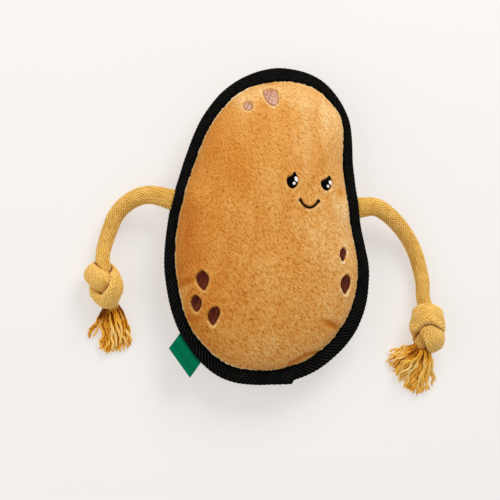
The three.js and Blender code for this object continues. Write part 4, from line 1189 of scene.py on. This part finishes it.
def tape_mesh(name, shares, closed=False, lift=0.0, out=0.0, slant=0.0, inner_edge=0.0):
    """Rows from the front edge over the fold to the back edge, then back along the inside.

    A lap lies higher by its lift, stands out past the seam, and is cut at a slant."""
    columns = len(shares)
    tape = seam_at(shares)[:, 2] + inner_edge
    top = TAPE_TOP + hump(shares) + lift
    start = TAPE_FOLD - out
    flat = [(tape + (start - tape) * f, top) for f in np.linspace(0, 1, 29)[:-1]]
    turn = [(start - TAPE_FOLD * math.sin(a), top - TAPE_FOLD * (1 - math.cos(a)))
            for a in np.linspace(0, math.pi / 2, 6)]
    under = top - WEBBING_THICKNESS
    r = TAPE_FOLD - WEBBING_THICKNESS
    inner = [(tape + (start - tape) * f, under) for f in np.linspace(0, 1, 4)]
    inner += [(start - r * math.sin(a), under - r * (1 - math.cos(a))) for a in (math.pi / 4, math.pi / 2)]

    def laid(half, other):
        whole = half + [(inset, -height) for inset, height in other[::-1]]
        insets, heights = (np.array([np.broadcast_to(row[k], columns) for row in whole]) for k in range(2))
        places = shares + slant * np.interp(insets, [-2.6, 0.6, 12.5], [-2.5, 0.3, 5]) / SEAM_LENGTH
        return places, seam_point(places, insets, heights)

    places, outside = laid(flat + turn, flat[::3] + turn)
    inside = laid(inner, inner)[1][::-1]
    steps = np.linalg.norm(np.diff(outside, axis=0), axis=2)
    across = np.concatenate([np.zeros((1, columns)), np.cumsum(steps, 0)])
    from_edge = np.minimum(across, across[-1:] - across)
    slope = 1.35 + 0.3 * np.clip(outside[..., 1] / 80, -1, 1)
    ribs = places * RIBS - from_edge * slope * RIBS / SEAM_LENGTH
    ridge = np.abs(np.cos(math.pi * ribs))
    selvedge = np.exp(-((from_edge - 0.7) / 0.6) ** 2)
    phase = places * 2 * math.pi
    round_seam = np.stack([np.cos(phase) * 110, np.sin(phase) * 110, across], -1)
    wave = noise(round_seam, 13, 71) * 0.2
    height = RIB_DEPTH * (ridge - 1) * (1 - selvedge) - 0.12 * selvedge + wave
    dr = np.gradient(outside, axis=0)
    dc = np.roll(outside, -1, 1) - np.roll(outside, 1, 1) if closed else np.gradient(outside, axis=1)
    normal = unit(np.cross(dr, dc))
    if (normal * (outside - seam_point(places, 4.0, 0.0))).sum() < 0:
        normal = -normal
    outside = outside + normal * height[..., None]
    tone = 0.5 - 0.3 * selvedge + 0.25 * noise(round_seam, 3, 72)
    tone = np.concatenate([tone, np.full(inside.shape[:2], 0.2)])
    faces = folded_faces(len(outside), len(inside), columns, closed)
    made = make(name, (np.concatenate([outside, inside]), faces, tone), webbing)
    paint(made.data, np.concatenate([ribs, np.full(inside.shape[:2], 0.5)]), "rib")
    return made


TAPE_COLUMNS, LAP_COLUMNS, LAP_END, LAP_LENGTH = 1500, 80, 0.762, 22.0
tape = tape_mesh("edge_tape", LAP_END + np.arange(TAPE_COLUMNS) / TAPE_COLUMNS, closed=True)

ROOT_HALF_WIDTH, ROOT_HALF_THICKNESS, SLOT_CLEARANCE, SLOT_SIDES = 8.6, 3.35, 0.5, 40


def slot_cutter(share):
    """A loft of the rope's flat end, to cut the slot where it leaves the tape."""
    t = np.linspace(0, 2 * math.pi, SLOT_SIDES, endpoint=False)
    wide = np.cos(t) * (ROOT_HALF_WIDTH + SLOT_CLEARANCE)
    thick = np.sin(t) * (ROOT_HALF_THICKNESS + SLOT_CLEARANCE)
    ring = np.append(seam_along(np.array(share)), 0) * wide[:, None] + [0, 0, 1] * thick[:, None]
    points = seam_point(share, [9, 0, -6.0], 0.0)[:, None] + ring
    return make("slot_cutter", (points, tube_faces(3, SLOT_SIDES), 0.0), webbing)


for share in root_shares:
    cutter = slot_cutter(share)
    remade(tape, "BOOLEAN", operation="DIFFERENCE", object=cutter, solver="EXACT")
    bpy.data.objects.remove(cutter)
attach(tape, "body")
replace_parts(tape, "edge_binding")

lap_shares = np.linspace(LAP_END - LAP_LENGTH / SEAM_LENGTH, LAP_END, LAP_COLUMNS)
grow = np.linspace(0, 1, LAP_COLUMNS)
lap_rise = 1.5 * smooth(grow * 1.6)
lap = tape_mesh("edge_tape_lap", lap_shares, lift=lap_rise - 0.2, out=2.6 * grow**1.5 - 0.1, slant=grow,
                inner_edge=0.3 * grow)
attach(lap, "body")

# Stitches along the tape's two edges
STITCH_SPACING, STITCH_HALF_LENGTH, STITCH_INSET = 3.3, 1.25, 1.9
stitch_count = round(SEAM_LENGTH / STITCH_SPACING)
for side, name in SIDES.items():
    centres = (np.arange(stitch_count) + 0.5) / stitch_count
    t = np.linspace(-1, 1, 7)
    shares = centres[:, None] + t[None] * STITCH_HALF_LENGTH / SEAM_LENGTH
    inset = seam_at(shares)[..., 2] - STITCH_INSET
    height = TAPE_TOP + hump(shares) + 0.12 * (1 - t**4)[None] - 0.25 * (t**6)[None]
    on_lap = (shares > lap_shares[0]) & (shares < lap_shares[-1])
    height = height + np.where(on_lap, np.interp(shares, lap_shares, lap_rise), 0)
    stitches = tubes(seam_point(shares, inset, side * height), FINE_THREAD_RADIUS, 5)
    make(f"{name}_tape_stitches", (*stitches, 0.7), black_thread, "body")

# Label: a folded woven tab, bare

LABEL_Y, LABEL_HALF, LABEL_REACH, LABEL_SKEW = -97.5, 14.25, 13.2, 0.38 * 12.5
LABEL_COLUMNS, LABEL_ROWS, LABEL_HALF_THICKNESS, LABEL_FOLD = 60, 22, 0.5, 0.96
LABEL_THREADS = 12.5 / 0.62
label_share = share_at(-1, LABEL_Y)
label_out = np.append(seam_out(np.array(label_share)), 0)
label_along = np.append(seam_along(np.array(label_share)), 0)
middle = seam_point(label_share, 0.0, 0.0)
c = np.linspace(-1, 1, LABEL_COLUMNS)
v = np.linspace(0, 1, LABEL_ROWS)[:, None]
inner_edge = seam_point(label_share + c * (LABEL_HALF / SEAM_LENGTH), 0.4, 0.0)
outer_edge = middle + label_out * LABEL_REACH + label_along * (c[:, None] * LABEL_HALF + LABEL_SKEW)
top = inner_edge + (outer_edge - inner_edge) * v[..., None]
curl = 0.5 * np.sin(v * 2.6) + 0.25 * noise(np.stack(np.broadcast_arrays(c * 14, v * 12), -1), 7, 51)
thread_at = np.abs(np.cos(math.pi * v * LABEL_THREADS))
rounded = np.sqrt(np.clip(1 - ((v - LABEL_FOLD) / (1 - LABEL_FOLD)) ** 2 * (v > LABEL_FOLD), 0, 1))
half_thickness = LABEL_HALF_THICKNESS * rounded + 0.07 * thread_at
upper, lower = top.copy(), top.copy()
upper[..., 2] += curl + half_thickness
lower[..., 2] += curl - half_thickness
# painted shade near the tape, where the tab goes in under it
tone = np.broadcast_to((0.35 + 0.35 * thread_at) * smooth(0.35 + v * 2.2), curl.shape)
points = np.concatenate([upper, lower[::-1]])
faces = folded_faces(LABEL_ROWS, LABEL_ROWS, LABEL_COLUMNS)
label = make("side_tab", (points, faces, [*tone, *tone[::-1]]), label_weave)
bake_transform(label)
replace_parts(label, "side_label")

# Inside: lining, filling

LINING_GRID, FILLING_VOXEL = 72, 0.0028
for side, name in SIDES.items():
    crown = CROWNS[side] - PLUSH_THICKNESS - LAYER_GAP
    rim_inset = SEAM_GAP + PLUSH_THICKNESS + LAYER_GAP
    outer = panel_points(side, LINING_GRID, rim_inset, LINING_TOP, crown)[0]
    inner = panel_points(side, LINING_GRID, rim_inset + LINING_THICKNESS, LINING_BOTTOM,
                         crown - LINING_THICKNESS)[0]
    tone = 0.6 + 0.1 * noise(outer[..., :2], 9, 61)
    lining = make(f"{name}_lining_cloth", layered(outer, inner, tone, tone), lining_weave, "body")
    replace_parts(lining, f"{name}_lining")

    wad = bpy.data.objects.new(f"{name}_filling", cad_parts[f"{name}_stuffing"].data.copy())
    bpy.context.scene.collection.objects.link(wad)
    mesh = remade(wad, "REMESH", mode="VOXEL", voxel_size=FILLING_VOXEL, use_smooth_shade=True)
    place, facing_out = np.zeros((2, len(mesh.vertices) * 3), np.float32)
    mesh.vertices.foreach_get("co", place)
    mesh.vertices.foreach_get("normal", facing_out)
    place, facing_out = place.reshape(-1, 3), facing_out.reshape(-1, 3)
    tufts = noise(place / MM, 7, 81) * 0.6 + noise(place / MM, 3.5, 82) * 0.4
    place = place + facing_out * ((tufts - 1)[:, None] * 0.55 * MM)
    mesh.vertices.foreach_set("co", place.astype(np.float32).ravel())
    # painted shade: darker where the tufts sink in
    paint(mesh, 0.6 + 0.25 * tufts)
    mesh.materials.clear()
    mesh.materials.append(filling)
    mesh.update()
    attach(wad, "body")
    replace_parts(wad, f"{name}_stuffing")

# Floor and light

floor_material = shader("backdrop", 0.9, specular=0.0)
colour(floor_material, texture(floor_material, 3.0, 2, 0.55), [(0.3, "#A9A7A5"), (0.7, "#ABA9A7")])
principled(floor_material)["Emission Color"].default_value = srgb("#F3F0ED")
principled(floor_material)["Emission Strength"].default_value = 0.57
bpy.ops.mesh.primitive_plane_add(size=12, location=(0, 0, 0))
ground = bpy.context.object
ground.name = "floor"
ground.data.materials.append(floor_material)

world = bpy.data.worlds.new("studio")
bpy.context.scene.world = world
world.use_nodes = True
background = world.node_tree.nodes["Background"].inputs
background["Color"].default_value = (1.0, 0.985, 0.965, 1)
background["Strength"].default_value = 0.5


def light(name, place, target, size, power, tint=(1, 1, 1)):
    data = bpy.data.lights.new(name, "AREA")
    data.shape, data.size, data.energy, data.color = "SQUARE", size, power, tint
    lamp = bpy.data.objects.new(name, data)
    lamp.location = place
    lamp.rotation_mode = "QUATERNION"
    lamp.rotation_quaternion = (Vector(target) - Vector(place)).to_track_quat("-Z", "Y")
    bpy.context.scene.collection.objects.link(lamp)


light("key", (0.45, 1.1, 1.0), (0, 0, 0.02), 0.9, 16.6, (1.0, 0.985, 0.96))
light("fill", (-1.1, -0.1, 0.8), (0, 0, 0.02), 1.2, 5.2)
bpy.context.scene.view_settings.view_transform = "Standard"
